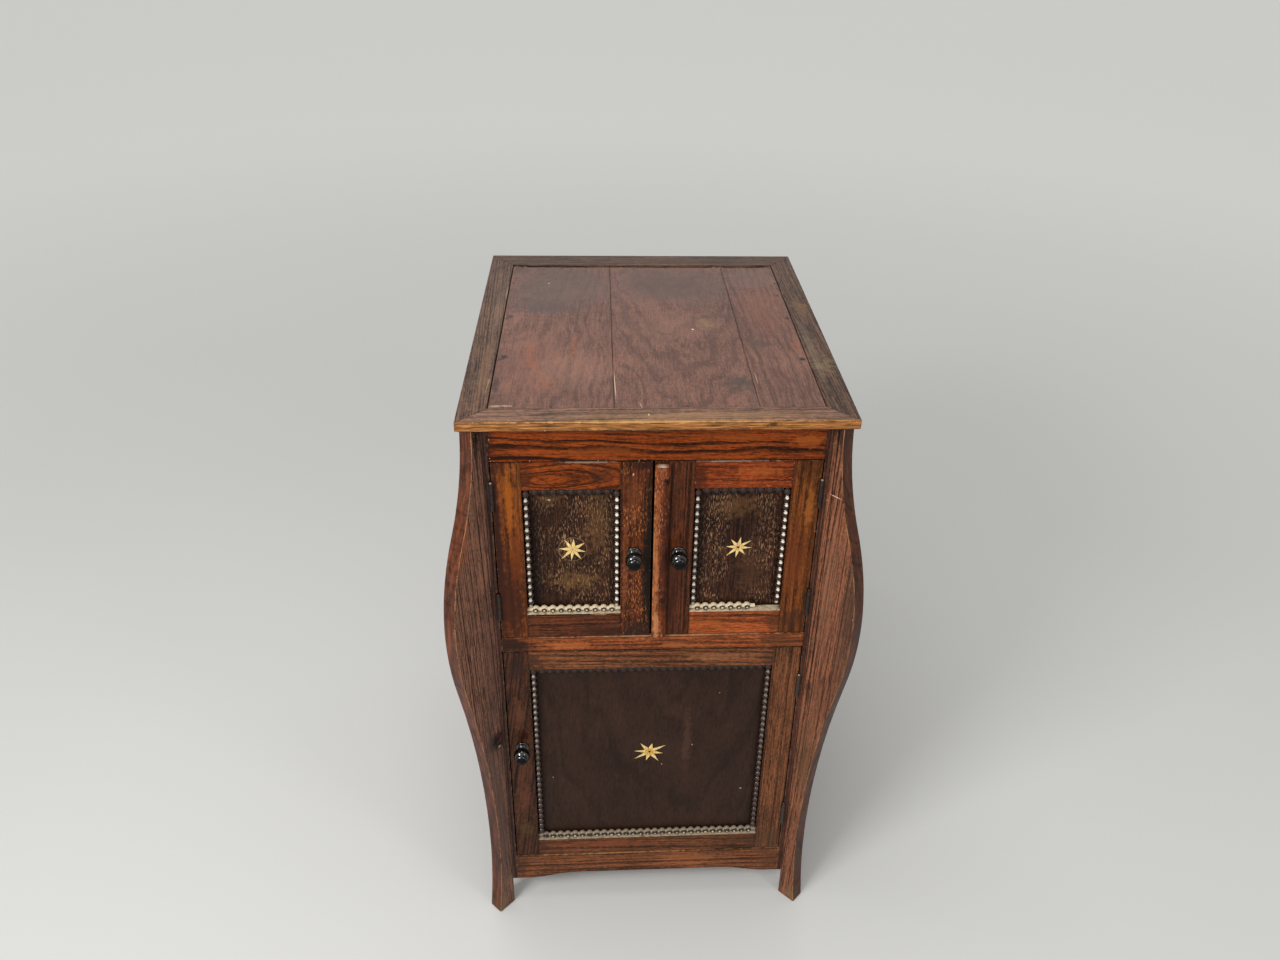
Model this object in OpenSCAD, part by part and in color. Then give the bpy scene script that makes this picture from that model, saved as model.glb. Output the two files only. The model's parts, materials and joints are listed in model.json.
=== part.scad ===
// Free-standing oak cabinet on four diagonal plank legs, with a pair of
// small doors above one large door and a boarded top in a mitred frame.
// Millimetres. +Z is up, the front faces -Y, and the origin is on the
// floor at the middle of the footprint.

/* [Overall] */
// Height from the floor to the top surface
overall_h = 846; // [800:1:900]
// Width of the case over its corner posts
case_w = 437; // [410:1:480]
// Depth of the case over its corner posts
case_d = 504; // [460:1:540]
// Clear height under the case, which is how far the feet stand below it
foot_clear = 51.5; // [40:0.5:80]
// Slack left at the bottom of a groove or a blind hole
slack = 0.2; // [0.1:0.05:0.5]

/* [Top] */
// Thickness of the top frame
top_t = 12; // [10:0.5:18]
// Overhang of the top past each side of the case
top_side_over = 11.5; // [8:0.5:20]
// Overhang of the top past the front and the back of the case
top_end_over = 13; // [11:0.5:20]
// Width of the front member of the top frame, up to the boards
top_front_w = 33; // [28:1:45]
// Width of the back member of the top frame, up to the rebate
top_back_w = 41; // [28:1:50]
// Width of each side member of the top frame, up to the rebate
top_side_w = 33.5; // [28:0.5:45]
// Thickness of the boards that fill the top frame
board_t = 6; // [4:0.5:8]
// Width of the ledge that carries the boards in the rebate
rebate_w = 16; // [15:0.5:22]
// Gap between the boards and the sides of their rebate
board_side_gap = 1.2; // [0.2:0.1:2]
// Gap between the boards and the front of their rebate
board_front_gap = 0.3; // [0.1:0.1:1]
// Gap where the boards' back ends have broken away from their rebate
board_back_gap = 9; // [0.5:0.5:9.5]
// Place of the seam between the left and the middle board
left_seam_x = -51; // [-100:1:-20]
// Place of the seam between the middle and the right board
right_seam_x = 118; // [60:1:150]
// Width of each seam
seam_gap = 0.4; // [0.2:0.1:1]

/* [Tacks] */
// Radius of a tack's head
tack_head_r = 1.7; // [1.2:0.1:2.5]
// Thickness of a tack's head
tack_head_t = 0.6; // [0.4:0.1:1]
// Radius of a tack's shank
tack_r = 0.7; // [0.5:0.1:1]
// Length of a tack
tack_len = 9; // [8:0.5:10]
// Distance of the tacks from the edge of the boards
tack_inset = 4; // [2.5:0.5:5]
// Number of tacks along each side
side_tacks = 3; // [2:1:8]

/* [Corner posts] */
// Width of a post across the front of the case
post_w = 22.3; // [20:0.1:28]
// Depth of a post along the side of the case
post_d = 30; // [26:1:40]

/* [Legs] */
// Thickness of a leg plank
leg_t = 22; // [18:0.5:24]
// Reach of the plank from the case corner at its top
leg_top_r = 13.5; // [8:0.5:16]
// Reach of the plank at its widest
leg_bulge_r = 61.5; // [50:0.5:75]
// Height of the widest place above the floor
leg_bulge_z = 548; // [500:1:600]
// Reach of the plank at its waist
leg_waist_r = 20.5; // [16:0.5:30]
// Height of the waist above the floor
leg_waist_z = 140; // [110:1:200]
// Reach of the plank at the floor
leg_foot_r = 29; // [25:0.5:40]
// Share of the upper sweep that curves outwards
leg_upper_split = 0.5; // [0.3:0.05:0.7]
// Share of the lower sweep that belongs to the bulge
leg_lower_split = 0.24; // [0.15:0.01:0.5]

/* [Sides and back] */
// Thickness of the side panels
side_t = 12; // [8:0.5:12]
// Set-back of the side panels from the posts' outer face
side_set = 4; // [2:0.5:5]
// Depth of a panel's tongue in a post
side_tongue = 6; // [4:0.5:8]
// Thickness of the back panel
back_t = 6; // [4:0.5:8]
// Set-back of the back panel from the posts' back face
back_set = 4; // [2:0.5:6]
// Depth of the back panel's tongue in a post
back_tongue = 5; // [3:0.5:6]

/* [Rails and floors] */
// Height of the frieze rail under the top
frieze_h = 47.6; // [35:0.1:65]
// Height of the rail between the upper and the lower doors
middle_rail_h = 23.6; // [18:0.1:35]
// Height of the bottom rail at its ends
bottom_rail_h = 50.7; // [40:0.1:60]
// Rise of the arch in the bottom rail
arch_rise = 10; // [6:0.5:18]
// Level length at each end of the arch
arch_flat = 9; // [4:0.5:20]
// Length of the curve at each end of the arch
arch_run = 85; // [50:1:110]
// Thickness of the shelf and of the bottom board
floor_t = 12; // [9:0.5:15]
// Side of the square cleats that carry them
cleat_s = 15; // [10:0.5:20]

/* [Door stops] */
// Width of a stop block
stop_w = 70; // [40:1:120]
// Thickness of a stop block
stop_t = 12; // [8:0.5:16]
// Depth to which a stop reaches behind its door
stop_drop = 10; // [6:0.5:16]

/* [Doors] */
// Thickness of the doors
door_t = 18; // [16:0.5:22]
// Gap above and below each door
door_end_gap = 1.2; // [0.8:0.1:2]
// Gap between a door and its post
door_side_gap = 1.5; // [1.2:0.1:2]
// Gap between the two upper doors
meeting_gap = 2.5; // [2.2:0.1:4]
// Place of the middle of that gap
meeting_x = -5; // [-12:0.5:0]
// Gap between a shut door and its stop
stop_gap = 0.3; // [0.2:0.1:0.5]
// Height of the lower door
lower_door_h = 394.2; // [370:0.1:410]
// Width of the upper doors' hinge stiles
upper_hinge_stile_w = 34; // [30:0.5:42]
// Width of the left upper door's lock stile
left_lock_stile_w = 37.5; // [34:0.5:44]
// Width of the right upper door's lock stile
right_lock_stile_w = 48; // [44:0.5:54]
// Height of the upper doors' top rails
upper_top_rail_h = 38; // [32:0.5:46]
// Height of the upper doors' bottom rails
upper_bottom_rail_h = 37; // [32:0.5:46]
// Width of the lower door's hinge stile
lower_hinge_stile_w = 36; // [30:0.5:42]
// Width of the lower door's lock stile
lower_lock_stile_w = 32.5; // [28:0.5:42]
// Height of the lower door's top rail
lower_top_rail_h = 30.5; // [26:0.5:42]
// Height of the lower door's bottom rail
lower_bottom_rail_h = 32.5; // [26:0.5:42]
// Depth of a door panel's face behind the door's face
panel_set = 10; // [9:0.5:11]
// Thickness of the door panels
panel_t = 4; // [3:0.5:5]
// Depth of a panel's tongue in the door frame
panel_tongue = 7; // [5:0.5:9]

/* [Bead mouldings] */
// Radius of a bead
bead_r = 5; // [4:0.1:5.5]
// Distance from one bead to the next
bead_pitch = 10.7; // [10.5:0.1:13]
// Distance of the beads' centre line from the wood behind and beside it
bead_seat = 4.4; // [3.5:0.1:4.8]
// Radius of the neck between two beads
bead_neck_r = 2.6; // [2:0.1:3.2]
// Beads lost from the right end of the right upper door's bottom row
beads_lost = 3; // [0:1:5]

/* [Star inlays] */
// Radius of the star on each upper door
upper_star_r = 17.5; // [14:0.5:24]
// Radius of the star on the lower door
lower_star_r = 23; // [16:0.5:30]
// Radius of the star's inner corners, as a share of its radius
star_waist = 0.42; // [0.35:0.01:0.55]
// Thickness of the inlays
star_t = 0.8; // [0.6:0.1:1.2]
// Height of the inlays above the panel
star_proud = 0.15; // [0:0.05:0.3]

/* [Knobs] */
// Radius of a knob's head
knob_r = 11.2; // [9:0.1:13]
// Distance of the head's centre from the door's face
knob_reach = 18.5; // [16:0.5:22]
// Radius of a knob's foot
knob_foot_r = 9; // [8:0.1:12]
// Thickness of a knob's foot
knob_foot_t = 3; // [2:0.5:5]
// Radius of a knob's neck
knob_neck_r = 5.2; // [4.5:0.1:6]
// Radius of the dowel behind a knob
dowel_r = 4; // [3:0.1:4.2]
// Length of that dowel
dowel_len = 14; // [10:0.5:15]
// Clearance round a dowel or a screw
dowel_clear = 0.05; // [0.02:0.01:0.1]
// Distance of the left upper knob from its door's free edge
left_knob_inset = 21.2; // [17:0.1:24]
// Distance of the right upper knob from its door's free edge
right_knob_inset = 31.2; // [28:0.1:34]
// Distance of the lower knob from its door's free edge
lower_knob_inset = 17.2; // [15:0.1:19]
// Height of the lower knob above the middle of its door
lower_knob_rise = 27.5; // [-40:0.5:60]

/* [Meeting strip] */
// Width of the meeting strip
strip_w = 18; // [14:0.5:19]
// Thickness of the meeting strip
strip_t = 9.5; // [7:0.5:12]
// Width and depth of the strip's bevelled edges
strip_bevel = 3.5; // [2:0.1:4]
// Distance of the strip's ends from the ends of the door
strip_inset = 2.5; // [1:0.5:6]
// Radius of the strip's nails
strip_nail_r = 1.4; // [1:0.1:1.8]
// Length of the strip's nails
strip_nail_len = 16; // [12:0.5:22]
// Number of nails in the strip
strip_nails = 3; // [2:1:4]
// Distance of the nails from the middle of the strip
strip_nail_off = 3.5; // [1:0.1:4]
// Distance of the top nail from the top of the strip
strip_nail_top = 22; // [15:1:40]
// Distance of the bottom nail from the bottom of the strip
strip_nail_bottom = 55; // [30:1:70]

/* [Hinges] */
// Length of a hinge
hinge_len = 38; // [32:1:44]
// Radius of a hinge's barrel
barrel_r = 2.75; // [2.5:0.05:3]
// Radius of a hinge's pin
pin_r = 1.4; // [1.2:0.05:1.6]
// Running clearance round the pin
pin_clear = 0.05; // [0.02:0.01:0.09]
// Distance of the pin in front of the door's face
pin_proud = 1.4; // [1:0.1:2]
// Thickness of a hinge leaf
leaf_t = 1.1; // [0.9:0.05:1.4]
// Width of a hinge leaf, from the pin
leaf_w = 16; // [14:0.5:17]
// Gap between the two leaves of a shut hinge
leaf_gap = 0.3; // [0.2:0.05:0.5]
// Gap between two neighbouring knuckles
knuckle_gap = 0.15; // [0.1:0.05:0.4]
// Radius of the ball at each end of the pin
tip_r = 1.9; // [1.5:0.1:2.4]
// Radius of a hinge screw
hinge_screw_r = 1.5; // [1.2:0.1:1.8]
// Length of a hinge screw in the wood
hinge_screw_len = 11; // [8:0.5:13]
// Distance of the upper hinges from the top of the upper doors
upper_hinge_top = 27; // [20:0.5:50]
// Distance of the upper doors' lower hinges from the bottom of the doors
upper_hinge_bottom = 31.5; // [20:0.5:50]
// Distance of the lower door's top hinge from the top of the door
lower_hinge_top = 48; // [30:0.5:70]
// Distance of the lower door's bottom hinge from the bottom of the door
lower_hinge_bottom = 58.5; // [30:0.5:70]

/* [Leg screws] */
// Radius of a leg screw's shank
leg_screw_r = 2.2; // [1.8:0.1:2.6]
// Radius of a leg screw's head
leg_screw_head_r = 4; // [3.5:0.1:4.5]
// Thickness of a leg screw's head
leg_screw_head_t = 2.5; // [2:0.1:3]
// Depth of a leg screw in the leg
leg_screw_grip = 11; // [9:0.5:12]
// Wood left between a screw's head and the leg
leg_screw_wood = 9; // [7:0.5:10]
// Distance of the end screws from the ends of the case
leg_screw_end = 70; // [45:1:120]

/* [Hidden] */
$fn = 64;
// Overlap of cutting tools past a face
cut = 1;
// Curve steps in each sweep of a leg and of the arch
sweep_steps = 20;
// Knuckles on a hinge and screws in one leaf
knuckles = 5;
leaf_screws = 3;
// Points of a star
star_points = 8;

// Planes of the case
half_w = case_w / 2;
half_d = case_d / 2;
case_top = overall_h - top_t;
top_w = case_w + 2 * top_side_over;
top_d = case_d + 2 * top_end_over;
post_in = half_w - post_w;
panel_in = half_w - side_set - side_t;
panel_end = half_d - post_d;
back_in = half_d - back_set - back_t;
rail_t = door_t + stop_gap;
rail_back = -half_d + rail_t;
leg_cut = leg_t / sqrt(2);

// Heights, from the floor up
bottom_rail_top = foot_clear + bottom_rail_h;
lower_z = bottom_rail_top + door_end_gap;
middle_rail_z = lower_z + lower_door_h + door_end_gap;
shelf_top = middle_rail_z + middle_rail_h;
upper_z = shelf_top + door_end_gap;
frieze_z = case_top - frieze_h;
upper_door_h = frieze_z - door_end_gap - upper_z;

// Door outlines as [left, right, bottom, top]
door_x = post_in - door_side_gap;
left_free_x = meeting_x - meeting_gap / 2;
right_free_x = meeting_x + meeting_gap / 2;
left_door = [-door_x, left_free_x, upper_z, upper_z + upper_door_h];
right_door = [right_free_x, door_x, upper_z, upper_z + upper_door_h];
lower_door = [-door_x, door_x, lower_z, lower_z + lower_door_h];

// Door openings in the same order
left_open = [
    left_door[0] + upper_hinge_stile_w, left_door[1] - left_lock_stile_w,
    left_door[2] + upper_bottom_rail_h, left_door[3] - upper_top_rail_h
];
right_open = [
    right_door[0] + right_lock_stile_w, right_door[1] - upper_hinge_stile_w,
    right_door[2] + upper_bottom_rail_h, right_door[3] - upper_top_rail_h
];
lower_open = [
    lower_door[0] + lower_lock_stile_w, lower_door[1] - lower_hinge_stile_w,
    lower_door[2] + lower_bottom_rail_h, lower_door[3] - lower_top_rail_h
];

// Knobs as [x, z]
left_knob = [left_door[1] - left_knob_inset, (left_door[2] + left_door[3]) / 2];
right_knob = [right_door[0] + right_knob_inset, (right_door[2] + right_door[3]) / 2];
lower_knob_at = [
    lower_door[0] + lower_knob_inset,
    (lower_door[2] + lower_door[3]) / 2 + lower_knob_rise
];

// Hinges: the pin's place and the bottom of each hinge
pin_x = post_in - door_side_gap / 2;
pin_y = -half_d - pin_proud;
upper_hinges = [
    left_door[2] + upper_hinge_bottom,
    left_door[3] - upper_hinge_top - hinge_len
];
lower_hinges = [
    lower_door[2] + lower_hinge_bottom,
    lower_door[3] - lower_hinge_top - hinge_len
];
knuckle_h = hinge_len / knuckles;

// Rebate of the top frame, and its boards as [left, right]
hole_side = top_w / 2 - top_side_w;
hole_front = -top_d / 2 + top_front_w;
hole_back = top_d / 2 - top_back_w;
board_side = hole_side - board_side_gap;
board_front = hole_front + board_front_gap;
board_back = hole_back - board_back_gap;
left_board = [-board_side, left_seam_x - seam_gap / 2];
middle_board = [left_seam_x + seam_gap / 2, right_seam_x - seam_gap / 2];
right_board = [right_seam_x + seam_gap / 2, board_side];

// Reach of a two-arc sweep at height z. It runs from a to b, each [reach,
// height], is upright at both, and changes from one arc to the other at
// the share split of its height.
function sweep_r(z, a, b, split) =
    let (dr = b[0] - a[0], dz = b[1] - a[1], s = (dr * dr + dz * dz) / (2 * dr))
    abs(z - a[1]) <= abs(split * dz)
        ? a[0] + split * s - sign(s) * sqrt(pow(split * s, 2) - pow(z - a[1], 2))
        : b[0] - (1 - split) * s
            + sign(s) * sqrt(pow((1 - split) * s, 2) - pow(z - b[1], 2));

// Points of such a sweep, from a to b
function sweep(a, b, split) = [
    for (i = [0 : sweep_steps])
        let (z = a[1] + (b[1] - a[1]) * i / sweep_steps)
        [sweep_r(z, a, b, split), z]
];

// Radius of the single arc by which a leg's foot flares out
flare_r = (pow(leg_foot_r - leg_waist_r, 2) + pow(leg_waist_z, 2))
    / (2 * (leg_foot_r - leg_waist_r));
function flare() = [
    for (i = [1 : sweep_steps])
        let (z = leg_waist_z * (1 - i / sweep_steps))
        [
            leg_waist_r + flare_r
                - sqrt(flare_r * flare_r - pow(leg_waist_z - z, 2)),
            z
        ]
];

// Points along each side of the top where the tacks are driven
tack_x = board_side - tack_inset;
tack_places = [
    for (side = [-1, 1], i = [0 : side_tacks - 1])
        [
            side * tack_x,
            board_front + (board_back - board_front) * (i + 1) / (side_tacks + 0.5)
        ],
    for (board = [left_board, middle_board, right_board], y = [
        board_front + tack_inset, board_back - tack_inset
    ])
        [(board[0] + board[1]) / 2, y]
];

module box(x0, x1, y0, y1, z0, z1) {
    translate([x0, y0, z0]) cube([x1 - x0, y1 - y0, z1 - z0]);
}

// A cylinder along the Y axis, from the plane y and towards the back
module y_rod(x, y, z, r, len) {
    translate([x, y, z]) rotate([-90, 0, 0]) cylinder(r = r, h = len);
}

// Top: a mitred frame with a rebate that carries three boards
module top_outline() {
    box(-top_w / 2, top_w / 2, -top_d / 2, top_d / 2, case_top, overall_h);
}

module top_hole() {
    box(
        -hole_side + rebate_w, hole_side - rebate_w,
        hole_front + rebate_w, hole_back - rebate_w,
        case_top - cut, overall_h + cut
    );
    box(
        -hole_side, hole_side, hole_front, hole_back,
        overall_h - board_t, overall_h + cut
    );
}

// Corners of the top, of its rebate and of the opening inside the ledge. A
// corner is [side, end]: -1 is left or front
function top_corner(at) = [at[0] * top_w / 2, at[1] * top_d / 2];
function hole_corner(at) = [at[0] * hole_side, at[1] < 0 ? hole_front : hole_back];
function ledge_corner(at) = hole_corner(at) - rebate_w * at;

// The member of the top frame between corners a and b, cut at its mitres
module top_member(a, b) {
    difference() {
        translate([0, 0, case_top])
            linear_extrude(height = top_t)
                polygon([
                    top_corner(a), top_corner(b), hole_corner(b),
                    ledge_corner(b), ledge_corner(a), hole_corner(a)
                ]);
        top_hole();
        tack_holes();
    }
}

module tack_holes() {
    for (p = tack_places) {
        translate([p[0], p[1], overall_h - tack_len])
            cylinder(r = tack_r + dowel_clear, h = tack_len + cut, $fn = 24);
        translate([p[0], p[1], overall_h - tack_head_t])
            cylinder(r = tack_head_r + dowel_clear, h = tack_head_t + cut, $fn = 24);
    }
}

module top_front_rail() {
    color("#5a4030") top_member([-1, -1], [1, -1]);
}

module top_back_rail() {
    color("#54402f") top_member([1, 1], [-1, 1]);
}

module top_left_rail() {
    color("#4c3a2e") top_member([-1, 1], [-1, -1]);
}

module top_right_rail() {
    color("#4a382c") top_member([1, -1], [1, 1]);
}

module top_board(span) {
    difference() {
        box(span[0], span[1], board_front, board_back, overall_h - board_t, overall_h);
        tack_holes();
    }
}

module top_left_board() {
    color("#6b3a2c") top_board(left_board);
}

module top_middle_board() {
    color("#70402f") top_board(middle_board);
}

module top_right_board() {
    color("#673829") top_board(right_board);
}

module top_tacks() {
    color("#3a3632")
        for (p = tack_places) {
            translate([p[0], p[1], overall_h - tack_len])
                cylinder(r = tack_r, h = tack_len, $fn = 24);
            translate([p[0], p[1], overall_h - tack_head_t])
                cylinder(r = tack_head_r, h = tack_head_t, $fn = 24);
        }
}

// Legs: a plank on each cut-off corner of the case. In the leg's own
// frame, x is the reach from the corner, and the plank lies behind y = 0.
module at_corner(side, end) {
    mirror([side > 0 ? 1 : 0, 0, 0])
        mirror([0, end > 0 ? 1 : 0, 0])
            translate([-half_w + leg_cut, -half_d, 0])
                rotate([0, 0, 225])
                    children();
}

module leg(side, end) {
    outer = concat(
        sweep([leg_top_r, case_top], [leg_bulge_r, leg_bulge_z], leg_upper_split),
        sweep([leg_bulge_r, leg_bulge_z], [leg_waist_r, leg_waist_z], leg_lower_split),
        flare()
    );
    color("#4a2f22")
        difference() {
            at_corner(side, end)
                rotate([90, 0, 0])
                    linear_extrude(height = leg_t)
                        polygon(concat([[0, 0], [0, case_top]], outer));
            leg_screw_holes(side, end);
        }
}

// Two screws through each post into its leg
leg_screw_zs = [
    foot_clear + leg_screw_end, case_top - leg_screw_end
];

module leg_screw_row(side, end, shank, head, head_len) {
    at_corner(side, end)
        for (z = leg_screw_zs)
            translate([0, -leg_t / 2, z])
                rotate([0, 90, 0]) {
                    translate([0, 0, -leg_screw_wood])
                        cylinder(r = shank, h = leg_screw_wood + leg_screw_grip);
                    translate([0, 0, -leg_screw_wood - head_len])
                        cylinder(r = head, h = head_len);
                }
}

module leg_screw_holes(side, end) {
    leg_screw_row(
        side, end, leg_screw_r + dowel_clear,
        leg_screw_head_r + dowel_clear, post_d
    );
}

module leg_screws() {
    color("#5c5850")
        for (side = [-1, 1], end = [-1, 1])
            leg_screw_row(side, end, leg_screw_r, leg_screw_head_r, leg_screw_head_t);
}

module front_left_leg() {
    leg(-1, -1);
}

module front_right_leg() {
    leg(1, -1);
}

module back_left_leg() {
    leg(-1, 1);
}

module back_right_leg() {
    leg(1, 1);
}

// Corner posts, with the outer corner cut off to take the leg
module post(side, end) {
    color("#5b3323")
        difference() {
            mirror([side > 0 ? 1 : 0, 0, 0])
                mirror([0, end > 0 ? 1 : 0, 0])
                    translate([-half_w, -half_d, foot_clear])
                        linear_extrude(height = case_top - foot_clear)
                            polygon([
                                [leg_cut, 0], [post_w, 0], [post_w, post_d],
                                [0, post_d], [0, leg_cut]
                            ]);
            side_panel_space(side);
            leg_screw_holes(side, end);
            if (end > 0) {
                back_panel_space();
            }
            if (end < 0) {
                hinge_cuts(side, upper_hinges, side);
                if (side > 0) {
                    hinge_cuts(side, lower_hinges, side);
                }
            }
        }
}

module front_left_post() {
    post(-1, -1);
}

module front_right_post() {
    post(1, -1);
}

module back_left_post() {
    post(-1, 1);
}

module back_right_post() {
    post(1, 1);
}

// Side and back panels run in grooves in the posts
module side_panel_space(side) {
    groove_end = panel_end + side_tongue + slack;
    mirror([side > 0 ? 1 : 0, 0, 0])
        box(
            -half_w + side_set, -panel_in,
            -groove_end, groove_end,
            foot_clear - cut, case_top + cut
        );
}

module side_panel(side) {
    color("#5a3424")
        mirror([side > 0 ? 1 : 0, 0, 0])
            box(
                -half_w + side_set, -panel_in,
                -panel_end - side_tongue, panel_end + side_tongue,
                foot_clear, case_top
            );
}

module left_side_panel() {
    side_panel(-1);
}

module right_side_panel() {
    side_panel(1);
}

module back_panel_space() {
    box(
        -post_in - back_tongue - slack, post_in + back_tongue + slack,
        back_in, back_in + back_t,
        foot_clear - cut, case_top + cut
    );
}

module back_panel() {
    color("#6a4a33")
        box(
            -post_in - back_tongue, post_in + back_tongue,
            back_in, back_in + back_t,
            foot_clear, case_top
        );
}

// Rails across the front
module front_rail(z0, z1) {
    box(-post_in, post_in, -half_d, rail_back, z0, z1);
}

module frieze_rail() {
    color("#8a4420") front_rail(frieze_z, case_top);
}

module middle_rail() {
    color("#84431f") front_rail(middle_rail_z, shelf_top);
}

// The arch leaves a level end and rises by a curve that is level at both
// of its ends
module bottom_rail() {
    rise = [
        for (p = sweep([foot_clear, 0], [foot_clear + arch_rise, arch_run], 0.5))
            [-post_in + arch_flat + p[1], p[0]]
    ];
    fall = [
        for (i = [len(rise) - 1 : -1 : 0])
            [-rise[i][0], rise[i][1]]
    ];
    color("#7d4221")
        translate([0, rail_back, 0])
            rotate([90, 0, 0])
                linear_extrude(height = rail_t)
                    polygon(concat(
                        [[-post_in, bottom_rail_top], [-post_in, foot_clear]],
                        rise, fall,
                        [[post_in, foot_clear], [post_in, bottom_rail_top]]
                    ));
}

// Floors, notched round the posts and carried by cleats
module floor_board(z) {
    difference() {
        box(-panel_in, panel_in, rail_back, back_in, z - floor_t, z);
        for (side = [-1, 1], end = [-1, 1])
            mirror([side > 0 ? 1 : 0, 0, 0])
                mirror([0, end > 0 ? 1 : 0, 0])
                    box(
                        -panel_in - cut, -post_in, -half_d - cut, -panel_end,
                        z - floor_t - cut, z + cut
                    );
    }
}

module middle_shelf() {
    color("#76502f") floor_board(shelf_top);
}

module bottom_board() {
    color("#6e4a2c") floor_board(bottom_rail_top);
}

module cleats() {
    color("#7a5636")
        for (z = [shelf_top - floor_t, bottom_rail_top - floor_t], side = [-1, 1])
            mirror([side > 0 ? 1 : 0, 0, 0])
                box(
                    -panel_in, -panel_in + cleat_s, -panel_end, panel_end,
                    z - cleat_s, z
                );
}

// Stops that the doors shut against, one behind the frieze and one under
// the shelf
module door_stops() {
    color("#6b4529") {
        box(
            -stop_w / 2, stop_w / 2, rail_back, rail_back + stop_t,
            frieze_z - stop_drop, case_top
        );
        box(
            -stop_w / 2, stop_w / 2, rail_back, rail_back + stop_t,
            middle_rail_z - stop_drop, shelf_top - floor_t
        );
    }
}

// Door frames: grooved stiles, and rails with a stub tenon in the groove.
// A door and its opening are given as [left, right, bottom, top].
groove_y = -half_d + panel_set;

module panel_space(open) {
    reach = panel_tongue + slack;
    box(
        open[0] - reach, open[1] + reach, groove_y, groove_y + panel_t,
        open[2] - reach, open[3] + reach
    );
}

// A stile's groove runs from end to end, so that it takes the tenons too
module stile(x0, x1, door, open) {
    reach = panel_tongue + slack;
    difference() {
        box(x0, x1, -half_d, -half_d + door_t, door[2], door[3]);
        box(
            open[0] - reach, open[1] + reach, groove_y, groove_y + panel_t,
            door[2] - cut, door[3] + cut
        );
    }
}

module door_rail(z0, z1, open) {
    difference() {
        union() {
            box(open[0], open[1], -half_d, -half_d + door_t, z0, z1);
            box(
                open[0] - panel_tongue, open[1] + panel_tongue,
                groove_y, groove_y + panel_t, z0, z1
            );
        }
        panel_space(open);
    }
}

module door_panel(open, star_r) {
    difference() {
        box(
            open[0] - panel_tongue, open[1] + panel_tongue,
            groove_y, groove_y + panel_t,
            open[2] - panel_tongue, open[3] + panel_tongue
        );
        star(open, star_r, cut);
    }
}

// A star let into the middle of a panel, standing out by proud
module star(open, r, proud) {
    translate([(open[0] + open[1]) / 2, groove_y - proud, (open[2] + open[3]) / 2])
        rotate([-90, 0, 0])
            linear_extrude(height = star_t + proud)
                polygon([
                    for (i = [0 : 2 * star_points - 1])
                        let (a = 180 * i / star_points, q = i % 2 == 0 ? r : r * star_waist)
                        [q * sin(a), q * cos(a)]
                ]);
}

// A row of beads round the Z axis, from z = 0 up, on a thin neck
module bead_row(len) {
    count = floor(len / bead_pitch);
    first = (len - (count - 1) * bead_pitch) / 2;
    rotate_extrude()
        intersection() {
            union() {
                square([bead_neck_r, len]);
                for (i = [0 : count - 1])
                    translate([0, first + i * bead_pitch]) circle(r = bead_r);
            }
            square([2 * bead_r, len]);
        }
}

// Beads in the corner between a panel and its frame, cut flat to seat. The
// bottom row runs from side to side, the columns stand on it and reach the
// top, and the top row runs between them.
module beads(open, short) {
    bead_y = groove_y - bead_seat;
    row_in = bead_seat + bead_r;
    bottom_len = open[1] - open[0] - short * bead_pitch;
    intersection() {
        union() {
            for (x = [open[0] + bead_seat, open[1] - bead_seat])
                translate([x, bead_y, open[2] + row_in])
                    bead_row(open[3] - open[2] - row_in);
            translate([open[0] + row_in, bead_y, open[3] - bead_seat])
                rotate([0, 90, 0]) bead_row(open[1] - open[0] - 2 * row_in);
            translate([open[0], bead_y, open[2] + bead_seat])
                rotate([0, 90, 0]) bead_row(bottom_len);
        }
        box(open[0], open[1], -half_d - door_t, groove_y, open[2], open[3]);
    }
}

// Knobs turn about the Y axis and stand out of the door's face
module knob(at) {
    color("#1b1613")
        translate([at[0], -half_d, at[1]])
            rotate([90, 0, 0]) {
                rotate_extrude()
                    intersection() {
                        union() {
                            translate([0, knob_reach]) circle(r = knob_r);
                            square([knob_foot_r, knob_foot_t]);
                            square([knob_neck_r, knob_reach]);
                        }
                        square([2 * knob_r, knob_reach + knob_r]);
                    }
                translate([0, 0, -dowel_len]) cylinder(r = dowel_r, h = dowel_len);
            }
}

module knob_hole(at) {
    y_rod(
        at[0], -half_d - cut, at[1], dowel_r + dowel_clear,
        cut + dowel_len + slack
    );
}

// Hinges. At side = -1 the pin is at the left and the door reaches to the
// right of it. toward = side is the leaf on the post, and toward = -side
// is the leaf on the door.
module leaf_plate(side, toward, z) {
    x0 = side * pin_x + toward * leaf_gap / 2;
    x1 = x0 + toward * leaf_t;
    box(
        min(x0, x1), max(x0, x1), pin_y + barrel_r + leaf_gap, pin_y + leaf_w,
        z, z + hinge_len
    );
}

// Knuckles of one leaf, each with the tab that joins it to the plate
module leaf_knuckles(side, toward, z, first) {
    x0 = side * pin_x + toward * leaf_gap / 2;
    x1 = x0 + toward * leaf_t;
    for (i = [first : 2 : knuckles - 1]) {
        z0 = z + i * knuckle_h + (i == 0 ? 0 : knuckle_gap / 2);
        z1 = z + (i + 1) * knuckle_h - (i == knuckles - 1 ? 0 : knuckle_gap / 2);
        translate([side * pin_x, pin_y, z0]) cylinder(r = barrel_r, h = z1 - z0);
        box(
            min(x0, x1), max(x0, x1), pin_y, pin_y + barrel_r + leaf_gap + slack,
            z0, z1
        );
    }
}

// Screws through one leaf into the wood behind it
module leaf_screw_row(side, toward, z, r, len) {
    x0 = side * pin_x + toward * (leaf_gap / 2 + leaf_t - leaf_t / 4);
    y0 = pin_y + (barrel_r + leaf_w) / 2;
    for (i = [0 : leaf_screws - 1])
        translate([x0, y0, z + hinge_len * (i + 0.5) / leaf_screws])
            rotate([0, toward * 90, 0])
                cylinder(r = r, h = len);
}

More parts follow.
